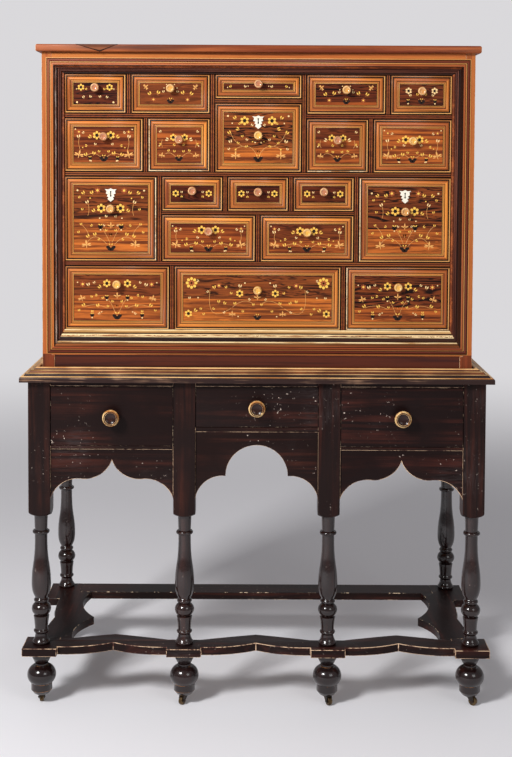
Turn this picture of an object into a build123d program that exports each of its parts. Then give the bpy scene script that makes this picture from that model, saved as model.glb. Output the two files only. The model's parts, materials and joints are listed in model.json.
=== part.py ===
"""Vargueno: a writing-cabinet case of small drawers on an ebonised turned stand.

Millimetres, +Z up, +Y to the back. The model is laid out with Y = 0 on the front faces of the
stand's posts, and every piece is moved once, at export, so that the origin is on the floor under
the middle of the whole.
"""
import os

from build123d import *

os.makedirs("parts", exist_ok=True)

# ---------------------------------------------------------------- casters and feet
WHEEL_RADIUS = 10.0
WHEEL_WIDTH = 9.0
WHEEL_EDGE = 1.5
AXLE_RADIUS = 2.0
AXLE_HEAD = 1.5
RUNNING_CLEARANCE = 0.06
CASTER_TRAIL = 9.0
CROWN_GAP = 0.8
CROWN_THICKNESS = 2.0
CROWN_RADIUS = 12.0
CHEEK_THICKNESS = 2.0
CHEEK_GAP = 0.5
CHEEK_REACH = 4.5
CHEEK_INSET = 1.0
SWIVEL_GAP = 0.3
PLATE_THICKNESS = 3.0
PLATE_PROUD = 0.9
PLATE_RADIUS = 13.0
STEM_RADIUS = 3.0
STEM_LENGTH = 32.0
STEM_HOLE_CLEARANCE = 0.4
# Heading of each caster, anticlockwise from straight back: four in front, then the two behind.
CASTER_HEADINGS = (10.0, 150.0, 205.0, 235.0, 20.0, -35.0)

STEM_END_GAP = 1.0

FOOT_HEIGHT = 98.5
FOOT_FLARE_HEIGHT = 9.0
FOOT_DRUM_HEIGHT = 16.0
FOOT_BALL_HEIGHT = 41.0
FOOT_SWEEP_HEIGHT = 14.0
FOOT_COLLAR_HEIGHT = 14.0
FOOT_QUIRK = 5.0
FOOT_BALL_RADIUS = 33.4
FOOT_NECK_RADIUS = 14.6
FOOT_DRUM_RADIUS = 24.5
FOOT_BASE_RADIUS = 17.5
FOOT_TOP_RADIUS = 21.5

# ---------------------------------------------------------------- stretchers
STRETCHER_THICKNESS = 19.0
BLOCK_HALF = 40.0
BLOCK_PROUD = 14.0
BLOCK_BACK = 64.0
STRETCHER_BACK = 50.0
BAY_EDGE_Y = 1.0
BAY_NOTCH_Y = 30.0
BAY_POINT_Y = 85.0
BAY_FRONT_SWEEP = 8.0
BAY_BACK_SWEEP = 19.0
SIDE_BOARD_OUTER = 5.0
SIDE_BOARD_WIDTH = 75.0
SIDE_TIP_REACH = 31.0
SIDE_NOTCH_DEPTH = 9.0
SIDE_OUTER_SWEEP = 1.0
SIDE_INNER_SWEEP = 3.0
REAR_BLOCK_LENGTH = 120.0
REAR_BLOCK_INSET = 2.0
BACK_BAR_WIDTH = 67.0

# ---------------------------------------------------------------- legs
POST_SIZE = 50.0
TURNING_HEIGHT = 303.5
SHOULDER_HEIGHT = 16.0
POST_HEIGHT = 315.0
LEG_NECK_RADIUS = 13.9
LEG_SWELL_RADIUS = 22.3
LEG_WAIST_RADIUS = 14.4
LEG_TOP_RADIUS = 15.8
LEG_BALL_RADIUS = 22.4
LEG_BELL_RADIUS = 20.7
LEG_COLLAR_RADIUS = 19.7
LEG_RING_RADIUS = 18.0
UPPER_RING_RADIUS = 17.2
# Heights of the leg's turned members, from the stretcher up.
BELL_HEIGHT = 9.0
COVE_HEIGHT = 16.0
RING_HEIGHT = 7.0
FLARE_HEIGHT = 30.0
BALL_HEIGHT = 29.0
UPPER_RING_HEIGHT = 8.0
COLLAR_HEIGHT = 7.4
TOP_NECK_HEIGHT = 35.6
QUIRK = 2.0
BEAD_ROUND = 2.0
COVE_SPRING = 1.3
# The long swell between the rings and the collar: share of its height, and radius there.
SWELL_STATIONS = (
    (0.11, LEG_SWELL_RADIUS - 1.6),
    (0.26, LEG_SWELL_RADIUS),
    (0.45, LEG_SWELL_RADIUS - 2.0),
    (0.60, LEG_WAIST_RADIUS + 2.6),
    (0.89, LEG_WAIST_RADIUS),
)
SPIGOT_RADIUS = 11.0
SPIGOT_DEPTH = 14.5
SPIGOT_CLEARANCE = 0.1

# ---------------------------------------------------------------- stand frame
TOP_RAIL_HEIGHT = 11.0
TOP_RAIL_WIDTH = 30.0
SIDE_DRAWER_HEIGHT = 138.0
SIDE_BEAD_HEIGHT = 7.0
CENTRE_DRAWER_HEIGHT = 93.0
CENTRE_BEAD_HEIGHT = 11.0
BEAD_SETBACK = 1.0
APRON_THICKNESS = 18.0
APRON_SETBACK = 4.0
APRON_FOOT_DROP = 273.0
SIDE_CUSP_DROP = 183.0
SHOULDER_DROP = 227.0
CENTRE_SHOULDER_RISE = 9.0
CENTRE_ARCH_RADIUS = 71.6
SIDE_SHOULDER_REACH = 66.0
TENON_LENGTH = 10.0
TENON_SHOULDER = 8.0
PANEL_THICKNESS = 20.0
BACK_RAIL_HEIGHT = 156.0
RUNNER_WIDTH = 20.0
RUNNER_THICKNESS = 10.0
GUIDE_HEIGHT = 14.0
STAND_BOARD_THICKNESS = 23.0
MOULDING_WIDTH = 40.0
MOULDING_EDGE = 8.0
MOULDING_RISE = 31.0
MOULDING_STEPS = 4
MOULDING_OVERHANG = 17.5
BACK_LEDGE = 29.0
TOP_BACK_OVERHANG = 5.0

# ---------------------------------------------------------------- case
CASE_WIDTH = 990.0
CASE_DEPTH = 410.0
CASE_GAP_SIDE = 7.5
CASE_GAP_FRONT = 2.5
CASE_SIDE_THICKNESS = 28.0
CASE_HOUSING = 6.0
PLINTH_HEIGHT = 35.0
PLINTH_THICKNESS = 18.0
PLINTH_SETBACK = 2.0
CASE_BOTTOM_THICKNESS = 21.0
CASE_TOP_THICKNESS = 31.0
CASE_BACK_THICKNESS = 12.0
BACK_LAP = 15.0
CAP_THICKNESS = 17.0
CAP_OVERHANG = 12.0
CAP_EDGE = 4.0
SILL_HEIGHT = 36.0
HEAD_HEIGHT = 17.0
FRAME_DEPTH = 22.0

# ---------------------------------------------------------------- nest of drawers
LINER_THICKNESS = 21.0
PARTITION_THICKNESS = 11.0
SHELF_THICKNESS = 11.0
SUB_SHELF_THICKNESS = 9.0
HOUSING = 3.0
ROW_1_HEIGHT = 90.0
ROW_2_HEIGHT = 123.0
ROW_3_HEIGHT = 79.0
ROW_4_HEIGHT = 108.0
ROW_5_HEIGHT = 148.0
THIN_DRAWER_HEIGHT = 55.0
CENTRE_BLOCK_WIDTH = 200.0
ROW_1_END_WIDTH = 142.0
ROW_2_END_WIDTH = 181.0
LOCK_DRAWER_WIDTH = 213.0
ROW_5_END_WIDTH = 242.0

# ---------------------------------------------------------------- drawers
DRAWER_CLEARANCE = 1.0
DRAWER_LIFT = 0.4
DRAWER_BACK_GAP = 0.5
DRAWER_PROUD = 2.0
FRONT_THICKNESS = 14.0
DRAWER_SIDE_THICKNESS = 8.0
DRAWER_BOTTOM_THICKNESS = 6.0
DRAWER_SIDE_DROP = 2.0
CASE_KNOB_DIAMETER = 20.0
CASE_KNOB_REACH = 17.0
STAND_FRONT_THICKNESS = 20.0
STAND_SIDE_THICKNESS = 11.0
STAND_BOTTOM_THICKNESS = 8.0
STAND_DRAWER_SETBACK = 3.0
STAND_KNOB_DIAMETER = 41.0
STAND_KNOB_REACH = 30.0

# ---------------------------------------------------------------- locks
ESCUTCHEON_THICKNESS = 2.0
ESCUTCHEON_CREST = 16.0
ESCUTCHEON_TIP = 15.0
KEYHOLE_RADIUS = 1.9
KEYHOLE_DROP = 9.5
KEYHOLE_SLOT = 2.2
KEYHOLE_RISE = 8.0
# Right-hand corners of the keyhole plate between its crest and its tip, (across, up) from its middle.
ESCUTCHEON_CORNERS = (
    (5.6, 13.4), (14.0, 14.0), (9.6, 10.2), (11.3, 3.9), (6.6, 1.8), (9.1, -2.5), (4.8, -4.6), (7.7, -8.6),
)
LOCK_WIDTH = 44.0
LOCK_THICKNESS = 9.0
LOCK_BELOW_KEYHOLE = 16.0
LOCK_WALL = 1.5
BOLT_WIDTH = 16.0
BOLT_THICKNESS = 5.0
BOLT_HEIGHT = 20.0
BOLT_THROW = 6.0
BOLT_CLEARANCE = 0.3
MORTISE_CLEARANCE = 1.0

# How far a cutting shape runs past the face that it cuts through.
CUT_MARGIN = 1.0

# ---------------------------------------------------------------- levels, from the floor up
CROWN_BOTTOM_Z = 2 * WHEEL_RADIUS + CROWN_GAP
CROWN_TOP_Z = CROWN_BOTTOM_Z + CROWN_THICKNESS
PLATE_BOTTOM_Z = CROWN_TOP_Z + SWIVEL_GAP
FOOT_BOTTOM_Z = PLATE_BOTTOM_Z + PLATE_PROUD
STRETCHER_BOTTOM_Z = FOOT_BOTTOM_Z + FOOT_HEIGHT
STRETCHER_TOP_Z = STRETCHER_BOTTOM_Z + STRETCHER_THICKNESS
SQUARE_BOTTOM_Z = STRETCHER_TOP_Z + TURNING_HEIGHT
POST_TOP_Z = SQUARE_BOTTOM_Z + POST_HEIGHT
STAND_DRAWER_TOP_Z = POST_TOP_Z - TOP_RAIL_HEIGHT
SIDE_DRAWER_BOTTOM_Z = STAND_DRAWER_TOP_Z - SIDE_DRAWER_HEIGHT
CENTRE_DRAWER_BOTTOM_Z = STAND_DRAWER_TOP_Z - CENTRE_DRAWER_HEIGHT
STAND_BOARD_Z = POST_TOP_Z + STAND_BOARD_THICKNESS
CASE_BOTTOM_Z = STAND_BOARD_Z + PLINTH_HEIGHT
NEST_BOTTOM_Z = CASE_BOTTOM_Z + CASE_BOTTOM_THICKNESS
ROW_5_Z = NEST_BOTTOM_Z + SILL_HEIGHT
ROW_4_Z = ROW_5_Z + ROW_5_HEIGHT + SHELF_THICKNESS
ROW_3_Z = ROW_4_Z + ROW_4_HEIGHT + SUB_SHELF_THICKNESS
ROW_2_Z = ROW_3_Z + ROW_3_HEIGHT + SHELF_THICKNESS
ROW_1_Z = ROW_2_Z + ROW_2_HEIGHT + SHELF_THICKNESS
HEAD_Z = ROW_1_Z + ROW_1_HEIGHT
NEST_TOP_Z = HEAD_Z + HEAD_HEIGHT
CASE_TOP_Z = NEST_TOP_Z + CASE_TOP_THICKNESS
THIN_DRAWER_Z = HEAD_Z - THIN_DRAWER_HEIGHT

# ---------------------------------------------------------------- widths and depths
CASE_FRONT_Y = MOULDING_WIDTH + CASE_GAP_FRONT - MOULDING_OVERHANG
CASE_BACK_Y = CASE_FRONT_Y + CASE_DEPTH
PANEL_BACK_Y = CASE_BACK_Y - CASE_BACK_THICKNESS
CASE_INNER_X = CASE_WIDTH / 2 - CASE_SIDE_THICKNESS
NEST_X = CASE_INNER_X - LINER_THICKNESS
NEST_FRONT_Y = CASE_FRONT_Y + FRAME_DEPTH
DRAWER_FRONT_Y = NEST_FRONT_Y - DRAWER_PROUD
BOARD_X = CASE_WIDTH / 2 + CASE_GAP_SIDE
TOP_X = BOARD_X + MOULDING_WIDTH
TOP_BACK_Y = CASE_BACK_Y + BACK_LEDGE
BOARD_FRONT_Y = MOULDING_WIDTH - MOULDING_OVERHANG
LEG_X = TOP_X - MOULDING_OVERHANG - POST_SIZE / 2
LEG_Y = POST_SIZE / 2
REAR_LEG_Y = TOP_BACK_Y - TOP_BACK_OVERHANG - POST_SIZE / 2
LEG_PITCH = 2 * LEG_X / 3
FRONT_LEGS_X = (-LEG_X, -LEG_X + LEG_PITCH, LEG_X - LEG_PITCH, LEG_X)
BAY_HALF = (LEG_PITCH - POST_SIZE) / 2
BAY_CENTRES = (-LEG_PITCH, 0.0, LEG_PITCH)
LEG_PLACES = [(x, LEG_Y) for x in FRONT_LEGS_X] + [(-LEG_X, REAR_LEG_Y), (LEG_X, REAR_LEG_Y)]
REAR_POST_BACK_Y = REAR_LEG_Y + POST_SIZE / 2
BACK_RAIL_Y = REAR_POST_BACK_Y - APRON_SETBACK - PANEL_THICKNESS
SIDE_PANEL_X = LEG_X + POST_SIZE / 2 - APRON_SETBACK - PANEL_THICKNESS
STAND_DRAWER_Y = STAND_DRAWER_SETBACK

# The stand's knobs reach furthest forward and the top's back edge furthest back.
FOOTPRINT_CENTRE_Y = (TOP_BACK_Y + STAND_DRAWER_Y - STAND_KNOB_REACH) / 2


def block(x0, x1, y0, y1, z0, z1):
    """A rectangular board between two opposite corners."""
    return Pos((x0 + x1) / 2, (y0 + y1) / 2, (z0 + z1) / 2) * Box(x1 - x0, y1 - y0, z1 - z0)


def mirrored(shape):
    """The shape and its copy on the other side of the middle."""
    return [shape, mirror(shape, about=Plane.YZ)]


def board_from(plane, edges, amount):
    """A board cut to an outline drawn on a plane, from the plane along its normal."""
    return extrude(plane * make_face(Curve() + edges), amount, dir=plane.z_dir)


def turned(edges, z0, z1):
    """A turning about the vertical axis: a half outline of (radius, height) edges from z0 to z1."""
    start = edges[0] @ 0
    end = edges[-1] @ 1
    closing = [Line((0, z0), start), Line(end, (0, z1)), Line((0, z1), (0, z0))]
    return revolve(Plane.XZ * make_face(Curve() + (closing[:1] + edges + closing[1:])), Axis.Z)


def bead(radius, z0, z1, edge_radius):
    """A turned bead between two heights, swelling from edge_radius to radius."""
    return ThreePointArc((edge_radius, z0), (radius, (z0 + z1) / 2), (edge_radius, z1))


def save(node, *shapes):
    """Write one node: its solids, moved so that the origin is under the middle of the piece."""
    shift = Pos(0, -FOOTPRINT_CENTRE_Y, 0)
    solids = [shift * solid for shape in shapes for solid in shape.solids()]
    export_step(Compound(solids), f"parts/{node}.step")


# ================================================================ casters
def caster_fork():
    """Swivel fork about the Z axis, wheel axle trailing towards +Y, with its stem."""
    stem = Pos(0, 0, CROWN_TOP_Z + STEM_LENGTH / 2) * Cylinder(STEM_RADIUS, STEM_LENGTH)
    crown = Pos(0, 0, CROWN_BOTTOM_Z + CROWN_THICKNESS / 2) * Cylinder(CROWN_RADIUS, CROWN_THICKNESS)
    front = (CASTER_TRAIL - CHEEK_REACH, WHEEL_RADIUS)
    rear = (CASTER_TRAIL + CHEEK_REACH, WHEEL_RADIUS)
    outline = [
        Line((-CROWN_RADIUS / 2, CROWN_TOP_Z), front),
        ThreePointArc(front, (CASTER_TRAIL, WHEEL_RADIUS - CHEEK_REACH), rear),
        Line(rear, (CROWN_RADIUS - CHEEK_INSET, CROWN_TOP_Z)),
        Line((CROWN_RADIUS - CHEEK_INSET, CROWN_TOP_Z), (-CROWN_RADIUS / 2, CROWN_TOP_Z)),
    ]
    cheek = board_from(Plane.YZ, outline, CHEEK_THICKNESS)
    inner = WHEEL_WIDTH / 2 + CHEEK_GAP
    cheeks = [Pos(inner, 0, 0) * cheek, Pos(-inner - CHEEK_THICKNESS, 0, 0) * cheek]
    axle_length = 2 * (inner + CHEEK_THICKNESS + AXLE_HEAD)
    axle = Pos(0, CASTER_TRAIL, WHEEL_RADIUS) * Rot(0, 90, 0) * Cylinder(AXLE_RADIUS, axle_length)
    return stem + crown + cheeks + axle


def caster_wheel():
    """Wheel on the fork's axle, with eased tread edges."""
    wheel = Cylinder(WHEEL_RADIUS, WHEEL_WIDTH)
    wheel = fillet(wheel.edges(), WHEEL_EDGE)
    wheel -= Cylinder(AXLE_RADIUS + RUNNING_CLEARANCE, WHEEL_WIDTH)
    return Pos(0, CASTER_TRAIL, WHEEL_RADIUS) * Rot(0, 90, 0) * wheel


def caster_plate():
    """Round plate let into the foot, with the stem's bush hole."""
    plate = Cylinder(PLATE_RADIUS, PLATE_THICKNESS)
    plate -= Cylinder(STEM_RADIUS + RUNNING_CLEARANCE, PLATE_THICKNESS)
    return Pos(0, 0, PLATE_BOTTOM_Z + PLATE_THICKNESS / 2) * plate


def make_casters():
    """Forks and wheels in nodes of their own, the six fixed plates in one."""
    fork = caster_fork()
    wheel = caster_wheel()
    for number, ((x, y), heading) in enumerate(zip(LEG_PLACES, CASTER_HEADINGS), start=1):
        place = Pos(x, y, 0) * Rot(0, 0, heading)
        save(f"caster_fork_{number}", place * fork)
        save(f"caster_wheel_{number}", place * wheel)
    save("caster_plates", *[Pos(x, y, 0) * caster_plate() for x, y in LEG_PLACES])


# ================================================================ feet and legs
def bun_foot():
    """Turned foot: flared collar, neck, ball and drum, bored for the leg's spigot and the stem."""
    z0, z1 = FOOT_BOTTOM_Z, STRETCHER_BOTTOM_Z
    drum_z = z0 + FOOT_FLARE_HEIGHT
    ball_z = drum_z + FOOT_DRUM_HEIGHT
    widest_z = ball_z + 0.46 * FOOT_BALL_HEIGHT
    quirk_z = ball_z + FOOT_BALL_HEIGHT
    collar_z = z1 - FOOT_COLLAR_HEIGHT
    sweep_z = collar_z - FOOT_SWEEP_HEIGHT
    quirk = FOOT_NECK_RADIUS + FOOT_QUIRK
    sweep_radius = FOOT_NECK_RADIUS + 0.57 * (FOOT_TOP_RADIUS - FOOT_NECK_RADIUS)
    outline = [
        Line((FOOT_BASE_RADIUS, z0), (FOOT_DRUM_RADIUS, drum_z)),
        Line((FOOT_DRUM_RADIUS, drum_z), (FOOT_DRUM_RADIUS, ball_z)),
        ThreePointArc((FOOT_DRUM_RADIUS, ball_z), (FOOT_BALL_RADIUS, widest_z), (quirk, quirk_z)),
        Line((quirk, quirk_z), (FOOT_NECK_RADIUS, quirk_z)),
        Line((FOOT_NECK_RADIUS, quirk_z), (FOOT_NECK_RADIUS, sweep_z)),
        Spline(
            (FOOT_NECK_RADIUS, sweep_z),
            (sweep_radius, sweep_z + 0.57 * FOOT_SWEEP_HEIGHT),
            (FOOT_TOP_RADIUS, collar_z),
        ),
        Line((FOOT_TOP_RADIUS, collar_z), (FOOT_TOP_RADIUS, z1)),
    ]
    foot = turned(outline, z0, z1)
    spigot_hole = Cylinder(SPIGOT_RADIUS + SPIGOT_CLEARANCE, SPIGOT_DEPTH)
    foot -= Pos(0, 0, z1 - SPIGOT_DEPTH / 2) * spigot_hole
    hole_top = CROWN_TOP_Z + STEM_LENGTH + STEM_END_GAP
    stem_hole = Cylinder(STEM_RADIUS + STEM_HOLE_CLEARANCE, hole_top - z0)
    foot -= Pos(0, 0, (z0 + hole_top) / 2) * stem_hole
    recess_depth = PLATE_THICKNESS - PLATE_PROUD
    return foot - Pos(0, 0, z0 + recess_depth / 2) * Cylinder(PLATE_RADIUS, recess_depth)


def leg_turning():
    """The round part of a leg, from the bell on the stretcher to the foot of the square post."""
    z0, z1 = STRETCHER_TOP_Z, SQUARE_BOTTOM_Z
    cove_z = z0 + BELL_HEIGHT
    cove_top = cove_z + COVE_HEIGHT
    ring_z = cove_top + QUIRK
    ring_top = ring_z + RING_HEIGHT
    flare_z = ring_top + QUIRK
    flare_top = flare_z + FLARE_HEIGHT
    ball_z = flare_top + QUIRK
    ball_top = ball_z + BALL_HEIGHT
    upper_z = ball_top + QUIRK
    upper_top = upper_z + UPPER_RING_HEIGHT
    swell_z = upper_top + QUIRK
    collar_top = z1 - TOP_NECK_HEIGHT
    collar_z = collar_top - COLLAR_HEIGHT
    neck = LEG_NECK_RADIUS
    waist = LEG_WAIST_RADIUS
    bell_edge = LEG_BELL_RADIUS - BEAD_ROUND
    ring_edge = LEG_RING_RADIUS - BEAD_ROUND
    upper_edge = UPPER_RING_RADIUS - BEAD_ROUND
    collar_edge = LEG_COLLAR_RADIUS - BEAD_ROUND
    spring = neck + COVE_SPRING
    swell = [(radius, swell_z + share * (collar_z - swell_z)) for share, radius in SWELL_STATIONS]
    outline = [
        bead(LEG_BELL_RADIUS, z0, cove_z, bell_edge),
        Spline((bell_edge, cove_z), (spring, (cove_z + cove_top) / 2), (neck, cove_top)),
        Line((neck, cove_top), (ring_edge, ring_z)),
        bead(LEG_RING_RADIUS, ring_z, ring_top, ring_edge),
        Line((ring_edge, ring_top), (spring, flare_z)),
        Spline((spring, flare_z), (spring + 1, (flare_z + flare_top) / 2), (LEG_RING_RADIUS, flare_top)),
        Line((LEG_RING_RADIUS, flare_top), (neck, ball_z)),
        bead(LEG_BALL_RADIUS, ball_z, ball_top, neck),
        Line((neck, ball_top), (upper_edge, upper_z)),
        bead(UPPER_RING_RADIUS, upper_z, upper_top, upper_edge),
        Line((upper_edge, upper_top), (neck, swell_z)),
        Spline((neck, swell_z), *swell, (waist, collar_z)),
        Line((waist, collar_z), (collar_edge, collar_z)),
        bead(LEG_COLLAR_RADIUS, collar_z, collar_top, collar_edge),
        Line((collar_edge, collar_top), (waist, collar_top)),
        Line((waist, collar_top), (LEG_TOP_RADIUS, z1)),
    ]
    return turned(outline, z0, z1)


def leg():
    """One leg on the Z axis: spigot, turning, rounded shoulder and square post."""
    z0 = SQUARE_BOTTOM_Z
    corner = 0.75 * POST_SIZE
    shoulder_top = z0 + SHOULDER_HEIGHT
    shoulder = [
        ThreePointArc((LEG_TOP_RADIUS, z0), (0.72 * corner, z0 + SHOULDER_HEIGHT / 4), (corner, shoulder_top)),
        Line((corner, shoulder_top), (corner, POST_TOP_Z)),
    ]
    half = POST_SIZE / 2
    post = block(-half, half, -half, half, z0, POST_TOP_Z) & turned(shoulder, z0, POST_TOP_Z)
    spigot_height = STRETCHER_THICKNESS + SPIGOT_DEPTH
    spigot = Pos(0, 0, STRETCHER_TOP_Z - spigot_height / 2) * Cylinder(SPIGOT_RADIUS, spigot_height)
    return leg_turning() + post + spigot


# ================================================================ stretchers
def spigot_holes(board, places):
    """Bore a stretcher for the spigots that pass through it."""
    hole = Cylinder(SPIGOT_RADIUS + SPIGOT_CLEARANCE, STRETCHER_THICKNESS)
    for x, y in places:
        board -= Pos(x, y, STRETCHER_BOTTOM_Z + STRETCHER_THICKNESS / 2) * hole
    return board


def serpentine_bay(centre_x):
    """The front stretcher's board between two blocks, swept back to a point in the middle."""
    half = LEG_PITCH / 2 - BLOCK_HALF
    sweep = BAY_EDGE_Y + BAY_FRONT_SWEEP
    back_sweep = STRETCHER_BACK + BAY_BACK_SWEEP
    edges = [
        Spline((-half, BAY_EDGE_Y), (-half * 0.4, sweep), (0, BAY_NOTCH_Y)),
        Spline((0, BAY_NOTCH_Y), (half * 0.4, sweep), (half, BAY_EDGE_Y)),
        Line((half, BAY_EDGE_Y), (half, STRETCHER_BACK)),
        Spline((half, STRETCHER_BACK), (half * 0.5, back_sweep), (0, BAY_POINT_Y)),
        Spline((0, BAY_POINT_Y), (-half * 0.5, back_sweep), (-half, STRETCHER_BACK)),
        Line((-half, STRETCHER_BACK), (-half, BAY_EDGE_Y)),
    ]
    return Pos(centre_x, 0, STRETCHER_BOTTOM_Z) * board_from(Plane.XY, edges, STRETCHER_THICKNESS)


def front_stretcher():
    """One board under the four front legs: a block at each leg and a serpentine bay between."""
    z0, z1 = STRETCHER_BOTTOM_Z, STRETCHER_TOP_Z
    board = serpentine_bay(BAY_CENTRES[0])
    for centre in BAY_CENTRES[1:]:
        board += serpentine_bay(centre)
    for x in FRONT_LEGS_X:
        back = BLOCK_BACK if abs(x) > LEG_PITCH else STRETCHER_BACK
        board += block(x - BLOCK_HALF, x + BLOCK_HALF, -BLOCK_PROUD, back, z0, z1)
    return spigot_holes(board, [(x, LEG_Y) for x in FRONT_LEGS_X])


def side_stretcher(front):
    """The right-hand side board, pointed inwards and notched outside, with the rear block."""
    outer = LEG_X + SIDE_BOARD_OUTER
    inner = outer - SIDE_BOARD_WIDTH
    block_outer = LEG_X + BLOCK_HALF
    block_inner = LEG_X - BLOCK_HALF
    rear = REAR_POST_BACK_Y - REAR_BLOCK_INSET
    bar_front = rear - BACK_BAR_WIDTH
    block_front = rear - REAR_BLOCK_LENGTH
    middle = (BLOCK_BACK + block_front) / 2
    quarter = (block_front - BLOCK_BACK) / 4
    joint = STRETCHER_BACK - SIDE_INNER_SWEEP
    outer_sweep = outer - SIDE_OUTER_SWEEP
    inner_sweep = inner + SIDE_INNER_SWEEP
    notch = outer - SIDE_NOTCH_DEPTH
    point = inner - SIDE_TIP_REACH
    edges = [
        Spline((outer, BLOCK_BACK), (outer_sweep, middle - quarter), (notch, middle)),
        Spline((notch, middle), (outer_sweep, middle + quarter), (outer, block_front)),
        Polyline(
            (outer, block_front),
            (block_outer, block_front),
            (block_outer, rear),
            (block_inner, rear),
            (block_inner, bar_front),
            (inner, bar_front),
        ),
        Spline((inner, bar_front), (inner_sweep, middle + quarter), (point, middle)),
        Spline((point, middle), (inner_sweep, middle - quarter), (inner, joint)),
        Polyline((inner, joint), (outer, joint), (outer, BLOCK_BACK)),
    ]
    board = Pos(0, 0, STRETCHER_BOTTOM_Z) * board_from(Plane.XY, edges, STRETCHER_THICKNESS)
    return spigot_holes(board, [(LEG_X, REAR_LEG_Y)]) - front


def back_stretcher():
    """Straight bar between the two rear blocks."""
    rear = REAR_POST_BACK_Y - REAR_BLOCK_INSET
    end = LEG_X - BLOCK_HALF
    return block(-end, end, rear - BACK_BAR_WIDTH, rear, STRETCHER_BOTTOM_Z, STRETCHER_TOP_Z)


# ================================================================ stand frame
def tenons_x(half, y0, y1, z0, z1, shoulder):
    """A pair of tenons, one third of the thickness, on a rail that runs along X."""
    third = (y1 - y0) / 3
    low, high = z0 + shoulder, z1 - shoulder
    right = block(half, half + TENON_LENGTH, y0 + third, y1 - third, low, high)
    left = block(-half - TENON_LENGTH, -half, y0 + third, y1 - third, low, high)
    return right + left


def beaded_rail(centre_x, z0, height):
    """Rail under a stand drawer, its front edge worked to a half-round bead."""
    y0, y1 = BEAD_SETBACK, POST_SIZE
    rail = block(-BAY_HALF, BAY_HALF, y0, y1, z0, z0 + height)
    rail = fillet(rail.edges().filter_by(Axis.X).group_by(Axis.Y)[0], 0.45 * height)
    rail += tenons_x(BAY_HALF, y0, y1, z0, z0 + height, 0)
    return Pos(centre_x, 0, 0) * rail


def top_rail(centre_x):
    """Rail over a stand drawer."""
    y0, y1 = APRON_SETBACK, APRON_SETBACK + TOP_RAIL_WIDTH
    rail = block(-BAY_HALF, BAY_HALF, y0, y1, STAND_DRAWER_TOP_Z, POST_TOP_Z)
    return Pos(centre_x, 0, 0) * (rail + tenons_x(BAY_HALF, y0, y1, STAND_DRAWER_TOP_Z, POST_TOP_Z, 0))


def arch_edges(half, foot_z, shoulder_z, head_edges):
    """Lower edge of an apron from left to right: quarter-round shoulders and a middle outline."""
    inner = head_edges[-1] @ 1
    rise = shoulder_z - foot_z
    run = half - inner.X
    right_middle = (half - 0.293 * run, foot_z + 0.707 * rise)
    right = ThreePointArc((inner.X, shoulder_z), right_middle, (half, foot_z))
    left = ThreePointArc((-half, foot_z), (-right_middle[0], right_middle[1]), (-inner.X, shoulder_z))
    return [left] + head_edges + [right]


def ogee_head(reach, cusp_z, shoulder_z):
    """Pointed ogee that rises from both shoulders to a cusp in the middle."""
    rise = cusp_z - shoulder_z
    low = (0.55 * reach, shoulder_z + 0.13 * rise)
    steep = (0.2 * reach, shoulder_z + 0.5 * rise)
    left = Spline((-reach, shoulder_z), (-low[0], low[1]), (-steep[0], steep[1]), (0, cusp_z))
    right = Spline((0, cusp_z), steep, low, (reach, shoulder_z))
    return [left, right]


def round_head(radius, shoulder_z):
    """Half circle standing on both shoulders."""
    return [ThreePointArc((-radius, shoulder_z), (0, shoulder_z + radius), (radius, shoulder_z))]


def apron(half, top_z, thickness, head_edges, shoulder_z, foot_z, y0):
    """Shaped board of half width half, centred on X, its front face at y0."""
    lower = arch_edges(half, foot_z, shoulder_z, head_edges)
    rest = Polyline((half, foot_z), (half, top_z), (-half, top_z), (-half, foot_z))
    board = board_from(Plane.XZ, lower + [rest], -thickness)
    tenons = tenons_x(half, 0, thickness, foot_z, top_z, TENON_SHOULDER)
    return Pos(0, y0, 0) * (board + tenons)


def front_aprons():
    """Left, centre and right aprons under the stand's drawers."""
    foot_z = POST_TOP_Z - APRON_FOOT_DROP
    shoulder_z = POST_TOP_Z - SHOULDER_DROP
    ogee = ogee_head(SIDE_SHOULDER_REACH, POST_TOP_Z - SIDE_CUSP_DROP, shoulder_z)
    side_top = SIDE_DRAWER_BOTTOM_Z - SIDE_BEAD_HEIGHT
    side = apron(BAY_HALF, side_top, APRON_THICKNESS, ogee, shoulder_z, foot_z, APRON_SETBACK)
    arch_z = shoulder_z + CENTRE_SHOULDER_RISE
    arch = round_head(CENTRE_ARCH_RADIUS, arch_z)
    centre_top = CENTRE_DRAWER_BOTTOM_Z - CENTRE_BEAD_HEIGHT
    centre = apron(BAY_HALF, centre_top, APRON_THICKNESS, arch, arch_z, foot_z, APRON_SETBACK)
    return [Pos(BAY_CENTRES[0], 0, 0) * side, centre, Pos(BAY_CENTRES[2], 0, 0) * side]


def side_panel():
    """Right-hand side board between the front and rear posts, arched like the front."""
    half = (REAR_LEG_Y - LEG_Y - POST_SIZE) / 2
    foot_z = POST_TOP_Z - APRON_FOOT_DROP
    shoulder_z = POST_TOP_Z - SHOULDER_DROP
    ogee = ogee_head(SIDE_SHOULDER_REACH, POST_TOP_Z - SIDE_CUSP_DROP, shoulder_z)
    board = apron(half, POST_TOP_Z, PANEL_THICKNESS, ogee, shoulder_z, foot_z, 0)
    return Pos(SIDE_PANEL_X + PANEL_THICKNESS, (LEG_Y + REAR_LEG_Y) / 2, 0) * Rot(0, 0, 90) * board


def back_rail():
    """Plain board between the rear posts."""
    half = LEG_X - POST_SIZE / 2
    z0 = POST_TOP_Z - BACK_RAIL_HEIGHT
    y1 = BACK_RAIL_Y + PANEL_THICKNESS
    rail = block(-half, half, BACK_RAIL_Y, y1, z0, POST_TOP_Z)
    return rail + tenons_x(half, BACK_RAIL_Y, y1, z0, POST_TOP_Z, TENON_SHOULDER)


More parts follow.
